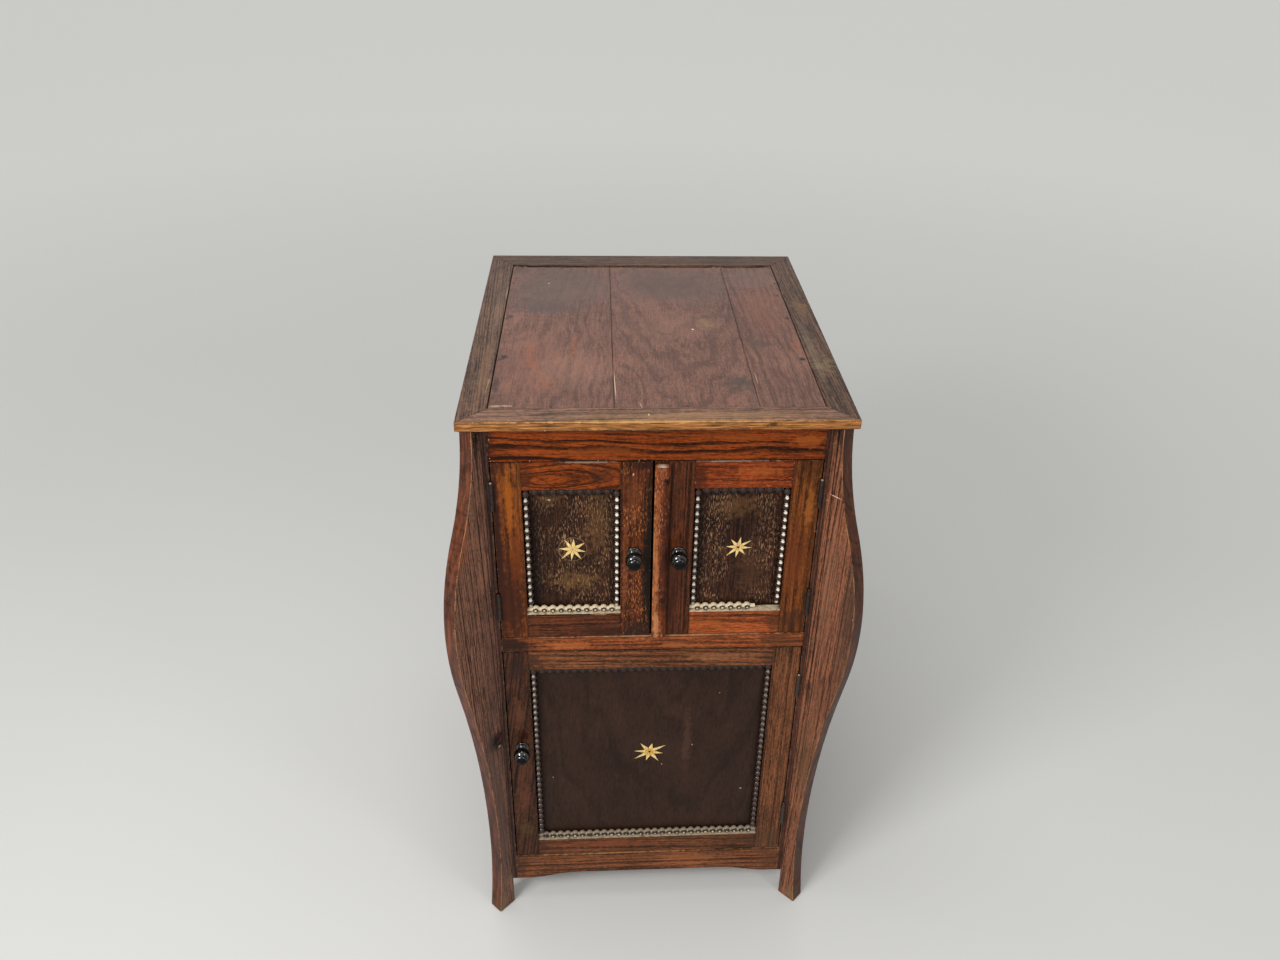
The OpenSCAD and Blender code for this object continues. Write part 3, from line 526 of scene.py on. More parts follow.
class CABINET_OT_stage(Operator):
    """Add the pale floor, the soft lamps, the sky and the camera"""

    bl_idname = "cabinet.stage"
    bl_label = "Stage"

    # Radius of the floor in metres
    FLOOR = 40
    # The camera's place in mm, its turns in degrees, its sensor's width and
    # its focal length in mm, and its shift as shares of the sensor's width
    CAMERA = (-68.0, -1287.5, 1417.5)
    YAW, PITCH, ROLL = 4.186, 30.568, 1.663
    SENSOR = 36
    LENS = 29.368
    SHIFT = (-0.01995, -0.02534)
    # Strength of the sky's light
    SKY = 0.51
    # Each sun as name, turn from above and about the height, spread, strength
    SUNS = (
        ("High sun", 42, -38, 30, 0.3),
        ("Front sun", 72, 6, 60, 0.5),
        ("Back sun", 60, 190, 60, 0.5),
    )
    # Each lamp as name, place and target in mm, width and height, watts
    LAMPS = (
        ("Window lamp", (-1300, -1500, 1900), (0, -150, 500), (0.8, 0.5), 34),
        ("Door lamp", (1300, -1500, 1700), (0, -150, 500), (0.4, 0.3), 6),
        ("Ceiling lamp", (-250, -350, 2500), (0, 0, 700), (1.1, 0.14), 7),
    )

    def floor(self):
        """A round floor, which is paler far away from the cabinet."""
        tone = colours().floor
        f = Finish("Pale floor")
        f.colour = f.mix(f.speckle(1.3), shade(tone, 0.98), shade(tone, 1.02))
        f.paint(shade(tone, 1.4), f.range(f.length(f.place), 0.8, 5.0))
        f.rough = 0.9
        bm = bmesh.new()
        bmesh.ops.create_circle(bm, cap_ends=True, segments=96, radius=self.FLOOR)
        mesh = bpy.data.meshes.new("Floor")
        bm.to_mesh(mesh)
        bm.free()
        mesh.materials.append(f.close(gloss=0.1))
        floor = bpy.data.objects.new("Floor", mesh)
        bpy.context.scene.collection.objects.link(floor)

    def sky(self):
        """An even light, seen as a pale backdrop by the camera."""
        world = bpy.data.worlds.new("Soft room")
        bpy.context.scene.world = world
        world.use_nodes = True
        tree = world.node_tree
        lit = tree.nodes["Background"]
        lit.inputs["Color"].default_value = (1.0, 1.0, 1.0, 1.0)
        lit.inputs["Strength"].default_value = self.SKY
        seen = tree.nodes.new("ShaderNodeBackground")
        seen.inputs["Color"].default_value = (*shade(colours().floor, 1.22), 1.0)
        ray = tree.nodes.new("ShaderNodeLightPath")
        mixed = tree.nodes.new("ShaderNodeMixShader")
        factor = ray.outputs["Is Camera Ray"]
        for kind in ("Is Glossy Ray", "Is Transmission Ray"):
            either = tree.nodes.new("ShaderNodeMath")
            either.operation = "MAXIMUM"
            tree.links.new(factor, either.inputs[0])
            tree.links.new(ray.outputs[kind], either.inputs[1])
            factor = either.outputs[0]
        tree.links.new(factor, mixed.inputs[0])
        tree.links.new(lit.outputs[0], mixed.inputs[1])
        tree.links.new(seen.outputs[0], mixed.inputs[2])
        tree.links.new(mixed.outputs[0], tree.nodes["World Output"].inputs["Surface"])

    def lamps(self):
        """Wide suns from all round, and soft lamps from the front and above."""
        for name, down, round_about, spread, strength in self.SUNS:
            light = bpy.data.lights.new(name, "SUN")
            light.angle = radians(spread)
            light.energy = strength
            lamp = bpy.data.objects.new(name, light)
            lamp.rotation_euler = (radians(down), 0, radians(round_about))
            bpy.context.scene.collection.objects.link(lamp)
        for name, place, target, (wide, high), watts in self.LAMPS:
            light = bpy.data.lights.new(name, "AREA")
            light.shape = "RECTANGLE"
            light.size, light.size_y = wide, high
            light.energy = watts
            lamp = bpy.data.objects.new(name, light)
            lamp.location = mm(place)
            aim = Vector(mm(target)) - Vector(mm(place))
            lamp.rotation_euler = aim.to_track_quat("-Z", "Y").to_euler()
            bpy.context.scene.collection.objects.link(lamp)

    def camera(self):
        """The camera, at the photograph's angle."""
        data = bpy.data.cameras.new("Camera")
        data.sensor_width = self.SENSOR
        data.lens = self.LENS
        data.shift_x, data.shift_y = self.SHIFT
        data.clip_end = 1.5 * self.FLOOR
        camera = bpy.data.objects.new("Camera", data)
        camera.location = mm(self.CAMERA)
        turn = (
            Matrix.Rotation(-radians(self.YAW), 3, "Z")
            @ Matrix.Rotation(pi / 2 - radians(self.PITCH), 3, "X")
            @ Matrix.Rotation(radians(self.ROLL), 3, "Z")
        )
        camera.rotation_euler = turn.to_euler()
        bpy.context.scene.collection.objects.link(camera)
        bpy.context.scene.camera = camera

    def execute(self, context):
        self.floor()
        self.sky()
        self.lamps()
        self.camera()
        context.scene.view_settings.view_transform = "Standard"
        return {"FINISHED"}


class CABINET_OT_top(Operator):
    """Dress the mitred top frame, its three boards and their tacks"""

    bl_idname = "cabinet.top"
    bl_label = "Top"

    # Node, grain, heart in mm, shade of the frame's colour
    MEMBERS = (
        ("top_front_rail", "x", (0, -330, 790), 1.6),
        ("top_back_rail", "x", (60, 330, 780), 0.85),
        ("top_left_rail", "y", (-290, -60, 800), 1.0),
        ("top_right_rail", "y", (270, 40, 790), 0.87),
    )
    MEMBER_MARKS = {
        "top_front_rail": (
            (0x9C7C58, 0.7, 0, -232.6, 190, 0.9, 0.2),
            (0xD8C0A0, 0.9, -12, -249, 1.2, 3.5, 0),
            (0x3A2A20, 0.6, -70, -252, 12, 5),
            (0xA87C4C, 0.7, 30, -263, 200, 3.5, 0.4),
            (0xA07850, 0.35, 40, -252, 190, 10),
        ),
        "top_left_rail": (
            (0x97805A, 0.7, -198, 112, 1.2, 34, 0.1),
            (0x97805A, 0.6, -200, -168, 1.2, 30, 0.2, -3),
            (0x86644C, 0.35, -207, -130, 10, 110),
            (0x7E6A5A, 0.25, -204, 60, 7, 110),
        ),
        "top_right_rail": (
            (0x6E6040, 0.5, 212, -128, 16, 18, 1.4, 30),
            (0x6E6040, 0.4, 222, -108, 9, 14, 1.4),
            (0x2A2420, 0.7, 213, -12, 9, 22, 0.5, 25),
            (0x2A2420, 0.6, 206, 55, 6, 26, 0.5, -12),
            (0x75583C, 0.5, 214, 60, 14, 40, 0.7),
            (0x8A7662, 0.3, 206, -80, 8, 120),
        ),
        "top_back_rail": (
            (0x5E4A38, 0.5, 90, 246, 60, 8, 0.5),
            (0x3A2E28, 0.5, 70, 240, 150, 16, 0.4),
        ),
    }
    BOARDS = {
        "top_left_board": ((-190, 60, 740), (4, 3, 0)),
        "top_middle_board": ((40, -60, 705), (6, -2, 0)),
        "top_right_board": ((300, 0, 770), (3, 0, 0)),
    }
    BOARD_MARKS = {
        "top_left_board": (
            (0x7E5446, 0.3, -150, -120, 55, 120, 0.4),
            (0x8E6A58, 0.2, -105, -140, 60, 80),
            (0x8A5236, 0.45, -152, -105, 9, 62, 1.0, 8),
            (0x84503A, 0.4, -132, -170, 14, 26, 1.0, 40),
            (0x8C5238, 0.5, -100, -60, 5, 60, 0.7, -4),
            (0x453C40, 0.6, -150, 62, 62, 34, 0.6),
            (0x5A4A44, 0.7, -120, 140, 110, 120, 0.4),
            (0x2A2022, 0.8, -187, -96, 7, 9, 0.5),
            (0x2A2022, 0.7, -188, 30, 5, 7, 0.5),
            (0x2A1E1E, 0.6, -191, -170, 5, 40, 0.7),
            (0xB89C80, 0.5, -182, -226, 18, 2.5, 0.9, 4),
            (0xBFA284, 0.8, -140, 150, 1.6, 3, 0),
            # Painted shade of the gap along the broken back end
            (0x2A1614, 0.9, -120, 217, 90, 5, 0.5),
        ),
        "top_middle_board": (
            (0x5C4A44, 0.7, 40, 150, 130, 110, 0.4),
            (0x7A6644, 0.5, 76, 8, 12, 26, 0.7),
            (0x3E3A34, 0.7, 102, -168, 26, 24, 0.9),
            (0x8A6658, 0.2, 20, 0, 110, 60),
            (0x4A3632, 0.35, 30, 150, 80, 50),
            (0xCDB092, 0.9, -49.4, -172, 0.8, 50, 0, 1),
            (0xC4A686, 0.7, -57, -215, 0.7, 14, 0, -14),
            (0xC4A686, 0.7, -20, -226, 0.7, 12, 0, 10),
            (0xE0D2C0, 1.0, 57, -13, 2.2, 2.2, 0),
            (0x33282A, 0.7, 14, -227, 5, 4, 0.4),
            (0x33282A, 0.6, 90, -229, 4, 3, 0.4),
            # Painted shade of the gap along the broken back end
            (0x2A1614, 0.9, 30, 217, 100, 5, 0.5),
        ),
        "top_right_board": (
            (0x8E5A4A, 0.25, 160, 50, 44, 120),
            (0x86523C, 0.5, 189, -66, 7, 44, 0.8),
            (0x655048, 0.6, 160, 175, 60, 60, 0.4),
            (0x1E1618, 0.95, 189, -105, 5, 7),
            (0x2E2222, 0.7, 189, 24, 4, 6, 0.4),
            (0x2E2222, 0.6, 189, 104, 4, 6, 0.4),
            (0x4A3A36, 0.6, 140, -60, 22, 14, 0.7, 10),
            (0x5A3A34, 0.6, 170, -170, 6, 70, 0.7, 35),
            (0xB89C80, 0.6, 123, -158, 0.7, 20, 0),
            # Painted shade of the gap along the broken back end
            (0x2A1614, 0.9, 160, 217, 50, 5, 0.5),
        ),
    }
    # In mm: how far the boards lie below their tacks' heads, and how far a
    # board's back end reaches at most
    SUNK = 0.35
    REACH = 8.6
    # Where a board's back end still reaches its rebate, as x, reach, width
    TONGUES = (
        (-190, 6, 9), (-178, 5, 4), (-20, 3, 14), (108, 6, 4), (118, 5, 5), (205, 9, 34),
    )

    def execute(self, context):
        c = colours()
        for node, grain, heart, factor in self.MEMBERS:
            f = wood(
                node, shade(c.top, factor, 1.06), heart, grain, tilt=(0, 0, 2), ring=2.1,
                contrast=0.38, fibre=1.3, rough=0.5, light=1.7,
            )
            top_marks(f, self.MEMBER_MARKS[node])
            if node == "top_front_rail":
                self.golden_face(f)
            if node == "top_back_rail":
                # Painted shade in the gap between the rail and the boards' broken back ends
                f.stain(0x120A07, 0.95, (0, 214, 839), (210, 14, 5), ragged=0.1)
            dress(node, f, reach=5 * MM, grime=0.35, rub=0.35, chips=0.5)
        for node, (heart, tilt) in self.BOARDS.items():
            f = wood(
                node, c.board, heart, "y", tilt=tilt, ring=5.5, wobble=14, wave=9,
                contrast=0.17, streaks=0.35, fibre=0.7, mottle=0.8, clouds=0.6, pores=0.4,
                rough=0.47, light=1.5, dark=0.5,
            )
            top_marks(f, self.BOARD_MARKS[node])
            self.board(node, f)
        keep("top_tacks", plain("Tacks", c.iron, 0.5, 0.5))
        return {"FINISHED"}

    def golden_face(self, f):
        """Golden oak on the front edge, with a scar, a pale line, and a dark line of painted
        shade along its lower arris.
        """
        streak = f.noise(f.times(f.place, (45, 500, 800)), 3, 0.65)
        tone = colours().edge
        golden = f.ramp(streak, [
            (0.34, shade(tone, 0.22)), (0.45, shade(tone, 0.7)), (0.56, shade(tone, 1.2)),
            (0.7, shade(tone, 2.3, 0.95)),
        ])
        y = f.split(f.place)[1]
        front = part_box("top_front_rail")[0].y
        f.paint(golden, f.range(y, front + 2 * MM, front + 0.8 * MM))
        f.stain(0x2A190E, 0.8, (128, EDGE, 841), (14, 4, 4), ragged=0.7)
        f.stain(0xE2AE68, 0.75, (-20, EDGE, 845.4), (225, 2, 1.2), ragged=0.5)
        # Painted shade along the lower arris
        f.stain(0x24120A, 0.75, (0, EDGE, 834), (240, 4, 2.2), ragged=0.4)

    def board(self, node, f):
        """A top board whose back end has broken away unevenly."""
        low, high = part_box(node)
        high.z -= self.SUNK * MM
        bm = block(low, high)
        round_arrises(bm, 0.4 * MM)
        slice_up(bm, 0, low.x / MM + 1, high.x / MM - 1, 2.1)
        for vert in bm.verts:
            if vert.co.y > high.y - 2 * MM:
                x = vert.co.x / MM
                torn = noise.noise(Vector((x * 0.11, 3.0, vert.co.z * 400)))
                torn += 0.6 * noise.noise(Vector((x * 0.45, 9.0, 0.0)))
                vert.co.y += torn * sizes().splinter
                for at, reach, wide in self.TONGUES:
                    vert.co.y += reach * MM * max(0.0, 1 - abs(x - at) / wide)
                vert.co.y = min(vert.co.y, high.y + self.REACH * MM)
        dress(node, f, bm, rounded=False, reach=2.5 * MM, grime=0.3, rub=0, chips=0.35)


class CABINET_OT_legs(Operator):
    """Dress the four shaped legs"""

    bl_idname = "cabinet.legs"
    bl_label = "Legs"

    MARKS = {
        "front_left_leg": (
            (0x8A4A26, 0.5, -236, 700, 20, 60, 0.7),
            (0xA6683A, 0.8, -250, 570, 6, 34, 0.6),
            (0xC0956A, 0.7, -247.5, 563, 3, 9),
            (0x33201C, 0.6, -209, 343, 16, 20, 0.4),
            (0x0C0605, 1.0, -209, 348, 20, 22, 0.2),
            (0x300606, 1.0, -204, 349, 8, 12, 0.2),
            (0xB09C8C, 1.0, -208, 335, 2.2, 3, 0.1),
            (0x7A6242, 0.8, -228, 10, 26, 30, 0.5),
            (0x3C2A28, 0.35, -210, 470, 16, 160, 0.5),
            # Painted shade under the top's overhang, at the leg's upper end
            (0x241612, 0.85, -215, 836, 40, 46),
            (0x54423C, 0.65, -222, 200, 34, 260, 0.4),
        ),
        "front_right_leg": (
            (0x7E5640, 0.4, 216, 600, 12, 130, 0.5),
            (0x3E2A24, 0.6, 246, 610, 16, 150, 0.4),
            (0x6A3A24, 0.4, 226, 740, 14, 60, 0.5),
            (0x4A2E22, 0.4, 226, 425, 24, 60, 0.5),
            (0xD9BFA2, 0.9, 212, 739.5, 9, 0.8, 0, 2),
            (0xE6D4C0, 1.0, 219.7, 784, 1.6, 1.8, 0),
            (0xCDA888, 0.8, 221.7, 733, 0.7, 6, 0, -12),
            (0xD9BFA2, 0.8, 240, 649, 0.8, 4, 0, 20),
            (0xC89A74, 0.8, 247, 596, 0.8, 6, 0, 8),
            (0xC89A74, 0.8, 248, 566, 0.9, 5, 0, -10),
            (0x7A6242, 0.8, 228, 10, 26, 28, 0.5),
            (0x2A1810, 0.6, 209, 425, 5, 30, 0.5),
            (0x60452F, 0.5, 215, 300, 14, 120, 0.5),
            # Painted shade under the top's overhang, at the leg's upper end
            (0x241612, 0.85, 215, 838, 40, 40),
            (0x4A3428, 0.5, 238, 560, 12, 180, 0.4),
        ),
    }

    # Node, side, end, shade, warmth, streaks, and where the log's heart lies
    # from the middle of the leg's box, in mm
    LEGS = (
        ("front_left_leg", -1, -1, 1.05, 0.98, 0.6, (110, 110)),
        ("front_right_leg", 1, -1, 0.97, 1.2, 1.0, (-26, 40)),
        ("back_left_leg", -1, 1, 1.0, 1.0, 0.6, (100, -110)),
        ("back_right_leg", 1, 1, 1.0, 1.0, 0.6, (-90, -110)),
    )
    # Half of a leg's thickness, and the height at which the tilted heart is
    # given, in mm
    HALF = 11
    HEART_HEIGHT = 560

    def execute(self, context):
        for node, side, end, factor, warm, streaks, (off_x, off_y) in self.LEGS:
            x, y, _ = middle_of(node)
            heart = (x + off_x, y + off_y, self.HEART_HEIGHT)
            f = wood(
                node, shade(colours().leg, factor, warm), heart, tilt=(-end, 2 * side, 0),
                ring=2.4, contrast=0.6, streaks=streaks, thin=0.04,
            )
            self.leg(node, f, side, end)
        return {"FINISHED"}

    def bands(self, bm, node, across):
        """Marks how near a point is to an arris, and which faces are narrow."""
        low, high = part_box(node)
        middle = (low + high) / 2
        half, reach = self.HALF * MM, sizes().rim
        for way in (-1, 1):
            cut(bm, middle + across * way * (half - reach), across)
        rim = bm.verts.layers.float.new("rim")
        flank = bm.verts.layers.float.new("flank")
        for vert in bm.verts:
            level = abs((vert.co - middle).dot(across))
            vert[rim] = 0.0 if level < half - reach + 1e-5 else 1.0
            vert[flank] = 1.0 if level < half - 0.5 * sizes().leg_arris else 0.0
        # The faces that are parallel to the plank and larger than 10 sq cm
        broad = [
            face for face in bm.faces
            if abs(face.normal.dot(across)) > 0.95 and face.calc_area() > 1e-3
        ]
        bmesh.ops.inset_individual(bm, faces=broad, thickness=reach, use_even_offset=True)
        for face in broad:
            for vert in face.verts:
                vert[rim] = 0.0

    def leg(self, node, f, side, end):
        """A leg with its rim painted on it, because no box bounds it."""
        bm = merged(node)
        # The outer face is where y * end - x * side is this large
        face = max(vert.co.y * end - vert.co.x * side for vert in bm.verts) / MM
        rows = filled(self.MARKS.get(node, ()))
        for code, strength, x, z, wide, high, ragged, turn in rows:
            f.stain(
                code, strength, (x, end * (face + side * x), z),
                (wide, 1.2 * wide + 7, high), (0, turn, 0), ragged=ragged,
            )
        round_arrises(bm, sizes().leg_arris)
        self.bands(bm, node, Vector((side, -end, 0)).normalized())
        flank = f.attribute("flank")
        streak = f.fibres(f.place, 190, 14, 3, 0.6)
        tone = shade(colours().flank, 0.45 if side == 1 else 0.85)
        red = f.ramp(streak, [
            (0.34, shade(tone, 0.3)), (0.5, tone), (0.66, shade(tone, 2.4, 1.08)),
        ])
        f.paint(red, flank, 0.8)
        f.wear_and_shade(f.attribute("rim"), grime=0.15, rub=0.15, chips=0.35)
        arris = f.product(flank, f.math("SUBTRACT", 1.0, flank))
        broken = f.range(f.fibres(f.place, 60, 34, 4, 0.7), 0.42, 0.6)
        f.paint(shade(colours().rub, 1.15), f.range(arris, 0.01, 0.1), broken, 0.75)
        piece = add_piece(bm, node + "_wood", node, f.close())
        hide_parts(node)


class CABINET_OT_case(Operator):
    """Dress the posts, the rails, the panels and the floors of the case"""

    bl_idname = "cabinet.case"
    bl_label = "Case"

    POSTS = ("front_left_post", "front_right_post", "back_left_post", "back_right_post")
    # Unvarnished softwood, with soft and wide rings
    SOFTWOOD = {
        "contrast": 0.22, "streaks": 0.35, "fibre": 0.5, "rough": 0.6, "light": 1.4,
        "dark": 0.5,
    }

    def execute(self, context):
        c = colours()
        for node in self.POSTS:
            heart = (middle_of(node)[0] + 60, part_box(node)[0].y / MM - 40, 0)
            tone = shade(c.post, 1.9, 1.12 if "right" in node else 0.95)
            dress(node, wood(node, tone, heart, ring=2.5), rub=0.25)
        f = wood(
            "frieze_rail", shade(c.frieze, 0.93, 1.03), (-60, -250, 680), "x",
            tilt=(0, 1.5, 0), ring=7.5, wobble=12, wave=9, contrast=0.8, rough=0.36,
            light=2.2, dark=0.16, thin=0.06,
        )
        marks(f, (
            (0x3A1A0C, 0.7, 203, 812, 12, 40, 0.5),
            (0x2C140C, 0.7, -198, 812, 14, 40, 0.5),
            (0x9A4E1C, 0.5, 176, 812, 26, 12, 0.6),
            # Painted shade along the top edge, under the top's overhang
            (0x2C140C, 0.5, 0, 833, 220, 5, 0.4),
            (0x7C3C14, 0.5, -60, 800, 60, 9, 0.5),
            (0x7C3C14, 0.5, 90, 818, 60, 7, 0.5, 3),
        ))
        dress("frieze_rail", f, grime=0.6, rub=0.15, chips=0.9, reach=4 * MM)
        f = wood(
            "middle_rail", shade(c.red, 1.28, 0.88), (0, -200, 600), "x", ring=4, wave=8,
            flecks=0.3,
        )
        marks(f, (
            (0xA45A2C, 0.6, -110, 508, 34, 8, 0.6),
            (0xA05A30, 0.5, 30, 506, 30, 6, 0.6),
            (0x50301C, 0.6, 165, 510, 40, 14, 0.5),
            (0x24160F, 0.95, -186, 510, 46, 24),
            # Painted shadow of the gap above the lower door, along the lower arris
            (0x20120C, 0.8, -80, 499, 130, 2.2, 0.4),
            (0xC49A70, 0.8, 20, 521.9, 180, 1.2, 0.6),
        ))
        dress("middle_rail", f, rub=0.4)
        f = wood("bottom_rail", shade(c.brown, 1.35, 1.03), (0, -200, 200), "x", ring=5)
        marks(f, (
            (0xC08A55, 0.8, -40, 101.6, 150, 1.5, 0.7),
            (0x8F5530, 0.5, 60, 88, 70, 6, 0.6),
            (0x3A2418, 0.6, -190, 80, 14, 40, 0.4),
            # Painted shade along the lower edge, on the arch's underside rounding
            (0x26160F, 0.85, -20, 58, 190, 13, 0.4),
            (0x4A2C1C, 0.6, 185, 75, 24, 40, 0.4),
        ))
        dress("bottom_rail", f, grime=0.4, rub=0.4)
        for node in ("left_side_panel", "right_side_panel"):
            heart = (1.3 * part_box(node)[0].x / MM, 120, 300)
            f = wood(node, c.side, heart, tilt=(2, 2, 0), ring=5, wobble=12, contrast=0.3)
            keep(node, f.close())
        f = wood(
            "back_panel", c.pine, (60, 300, 300), tilt=(2, 2, 0), ring=9, **self.SOFTWOOD
        )
        keep("back_panel", f.close())
        for node in ("middle_shelf", "bottom_board", "cleats", "door_stops"):
            grain = "y" if node == "cleats" else "x"
            f = wood(node, c.pine, (30, 60, -200), grain, ring=8, **self.SOFTWOOD)
            keep(node, f.close())
        keep("leg_screws", plain("Leg screws", c.iron, 0.5, 0.6))
        return {"FINISHED"}


class CABINET_OT_doors(Operator):
    """Dress the frames and the panels of the three doors"""

    bl_idname = "cabinet.doors"
    bl_label = "Doors"

    PARTS = ("hinge_stile", "lock_stile", "top_rail", "bottom_rail")
    # Tone, shade, heart in mm, tilt, and what else differs
    BOARDS = {
        "left_upper_hinge_stile": (
            "golden", 0.85, (-110, -230, 600), (2, 0, 0),
            {"ring": 5, "pores": 0.4, "contrast": 0.4},
        ),
        "left_upper_lock_stile": (
            "dark", 0.95, (40, -220, 650), (0, 0, 0),
            {
                "flecks": 0.9, "mottle": 1.8, "warm": 1.1, "fleck_tone": linear(0xB06C38),
                "fleck_side": FRONT + 4,
            },
        ),
        "left_upper_top_rail": (
            "frieze", 1.42, (-108, -247, 763), (0, 0, 14),
            {"ring": 3.8, "contrast": 0.75, "wobble": 10, "wave": 14, "light": 1.6},
        ),
        "left_upper_bottom_rail": ("dark", 1.25, (-100, -200, 500), (0, 0, 0), {"ring": 3}),
        "right_upper_hinge_stile": (
            "golden", 0.69, (110, -230, 600), (2, 0, 0),
            {"ring": 5, "pores": 0.4, "contrast": 0.4, "warm": 0.96},
        ),
        "right_upper_lock_stile": ("dark", 0.95, (90, -225, 650), (1, 1, 0), {"contrast": 0.5}),
        "right_upper_top_rail": (
            "red", 0.765, (100, -200, 700), (0, 0, 2),
            {"flecks": 0.4, "mottle": 0.9, "warm": 1.25},
        ),
        "right_upper_bottom_rail": (
            "red", 1.32, (60, -246, 530), (0, 0, 4), {"ring": 7, "contrast": 0.6},
        ),
        "lower_hinge_stile": (
            "brown", 1.1, (100, -215, 300), (1, 0, 0), {"ring": 4, "warm": 0.95},
        ),
        "lower_lock_stile": (
            "dark", 1.0, (-150, -225, 460), (0, 8, 0), {"contrast": 0.5, "warm": 0.77},
        ),
        "lower_top_rail": ("brown", 1.35, (40, -244, 420), (0, 2, 3), {"ring": 4.5}),
        "lower_bottom_rail": ("brown", 1.0, (-60, -240, 90), (0, 0, 3), {"ring": 5}),
    }
    MARKS = {
        "left_upper_hinge_stile": (
            (0xA05616, 0.5, -176, 730, 9, 60, 0.5),
            (0x2E1610, 1.0, -195, 650, 15, 190),
            (0x2E1610, 0.6, -188, 782, 14, 14),
            (0x34180E, 0.9, -181, 585, 26, 110, 0.5),
            (0x6A3010, 0.5, -172, 650, 9, 60, 0.7),
        ),
        "left_upper_lock_stile": (
            # Painted shadow of the meeting strip along the right edge
            (0x14100A, 1.0, -6, 640, 16, 190),
            (0x1E100C, 0.7, -20, 783, 30, 12, 0.4),
            (0x8A5030, 0.3, -38, 640, 5, 90, 0.9),
            (0x7A4424, 0.3, -30, 730, 12, 50, 0.5),
            (0x2A1812, 0.9, -24, 532, 24, 24, 0.5),
            (0xC9A888, 0.8, -29, 768, 1.2, 2.6, 0, 10),
        ),
        "left_upper_top_rail": (
            (0x3C1C0E, 0.6, -155, 766, 10, 24, 0.5),
            # Painted highlight along the top arris
            (0xC4AC92, 0.8, -84, 785, 46, 1.3, 0.5),
            (0x3A1C12, 0.6, -62, 768, 26, 22, 0.5),
        ),
        "left_upper_bottom_rail": (
            (0xB08A68, 0.6, -70, 559, 16, 1.2, 0.7),
            (0x2A1610, 0.6, -60, 532, 40, 14, 0.5),
        ),
        "right_upper_hinge_stile": (
            (0x45260F, 0.5, 188, 776, 10, 14, 0.4),
            (0x8E5420, 0.6, 184, 715, 7, 34, 0.6),
            (0x5E2C14, 0.6, 172, 640, 20, 60, 0.7),
            (0x3A2014, 0.6, 178, 545, 24, 26, 0.6),
        ),
        "right_upper_lock_stile": ((0x351A10, 0.5, 22, 600, 9, 90, 0.5),),
        "right_upper_top_rail": (
            (0x9A4E1E, 0.5, 120, 770, 34, 12, 0.7),
            (0x30160C, 0.75, 50, 764, 12, 26, 0.5),
            # Painted highlight along the top arris
            (0xC4AC92, 0.7, 90, 785, 60, 1.2, 0.6),
        ),
        "right_upper_bottom_rail": (
            (0x96501E, 0.5, 70, 543, 30, 5, 0.5),
            (0x3E2416, 0.6, 156, 542, 16, 26, 0.5),
        ),
        "lower_hinge_stile": ((0x45301F, 0.6, 178, 125, 24, 26, 0.5),),
        "lower_lock_stile": (
            (0x240E08, 0.9, -176, 349, 10, 9, 0.4),
            (0x5E3A28, 0.4, -180, 390, 10, 40, 0.7),
            (0x2C1C16, 0.6, -180, 470, 20, 34, 0.5),
            (0x64382A, 0.4, -178, 230, 14, 30, 0.7),
            (0x4E3A20, 0.5, -178, 160, 12, 26, 0.7),
        ),
        "lower_top_rail": (
            (0x2E1D14, 0.7, -160, 482, 26, 20, 0.5),
            (0x8C5C3C, 0.5, 85, 484, 70, 6, 0.6),
            (0x3A251A, 0.6, 152, 482, 12, 20, 0.5),
        ),
        "lower_bottom_rail": (
            (0x7A3E24, 0.6, -60, 122, 70, 10, 0.7),
            (0x3C261A, 0.6, 156, 120, 14, 22, 0.5),
            (0x3A2018, 0.6, -156, 120, 12, 22, 0.5),
        ),
    }

    PANEL_MARKS = {
        "left_upper": (
            (0x74542F, 0.4, -100, 606, 34, 20, 0.9),
            (0x6A4A2C, 0.35, -72, 690, 20, 60, 0.9),
            (0x6A4A2C, 0.3, -130, 730, 20, 14, 0.9),
            # Painted shadow of the stile along the panel's left edge
            (0x0E0806, 0.8, -161, 630, 33, 150),
            (0xB0A080, 0.8, -129, 727, 2.6, 1.6, 0.2, 20),
        ),
        "right_upper": (
            (0x6A4A2C, 0.35, 96, 715, 40, 22, 0.9),
            (0x5A3C28, 0.3, 120, 620, 24, 50, 0.9),
            # Painted shadow of the stile along the panel's left edge
            (0x0E0806, 0.75, 42, 650, 27, 120),
        ),
    }

    # Radius of the circle scribed on the left panel, and where the meeting
    # strip is planed uneven as lowest, highest and step, in mm
    CIRCLE = 17.4
    PLANED = (528, 781, 5)

    def rail_block(self, door, part):
        """A rail between its stiles, without its tenons."""
        low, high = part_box(f"{door}_{part}")
        sides = sorted(
            corner.x for stile in ("hinge_stile", "lock_stile")
            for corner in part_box(f"{door}_{stile}")
        )
        low.x, high.x = sides[1], sides[2]
        return low, high

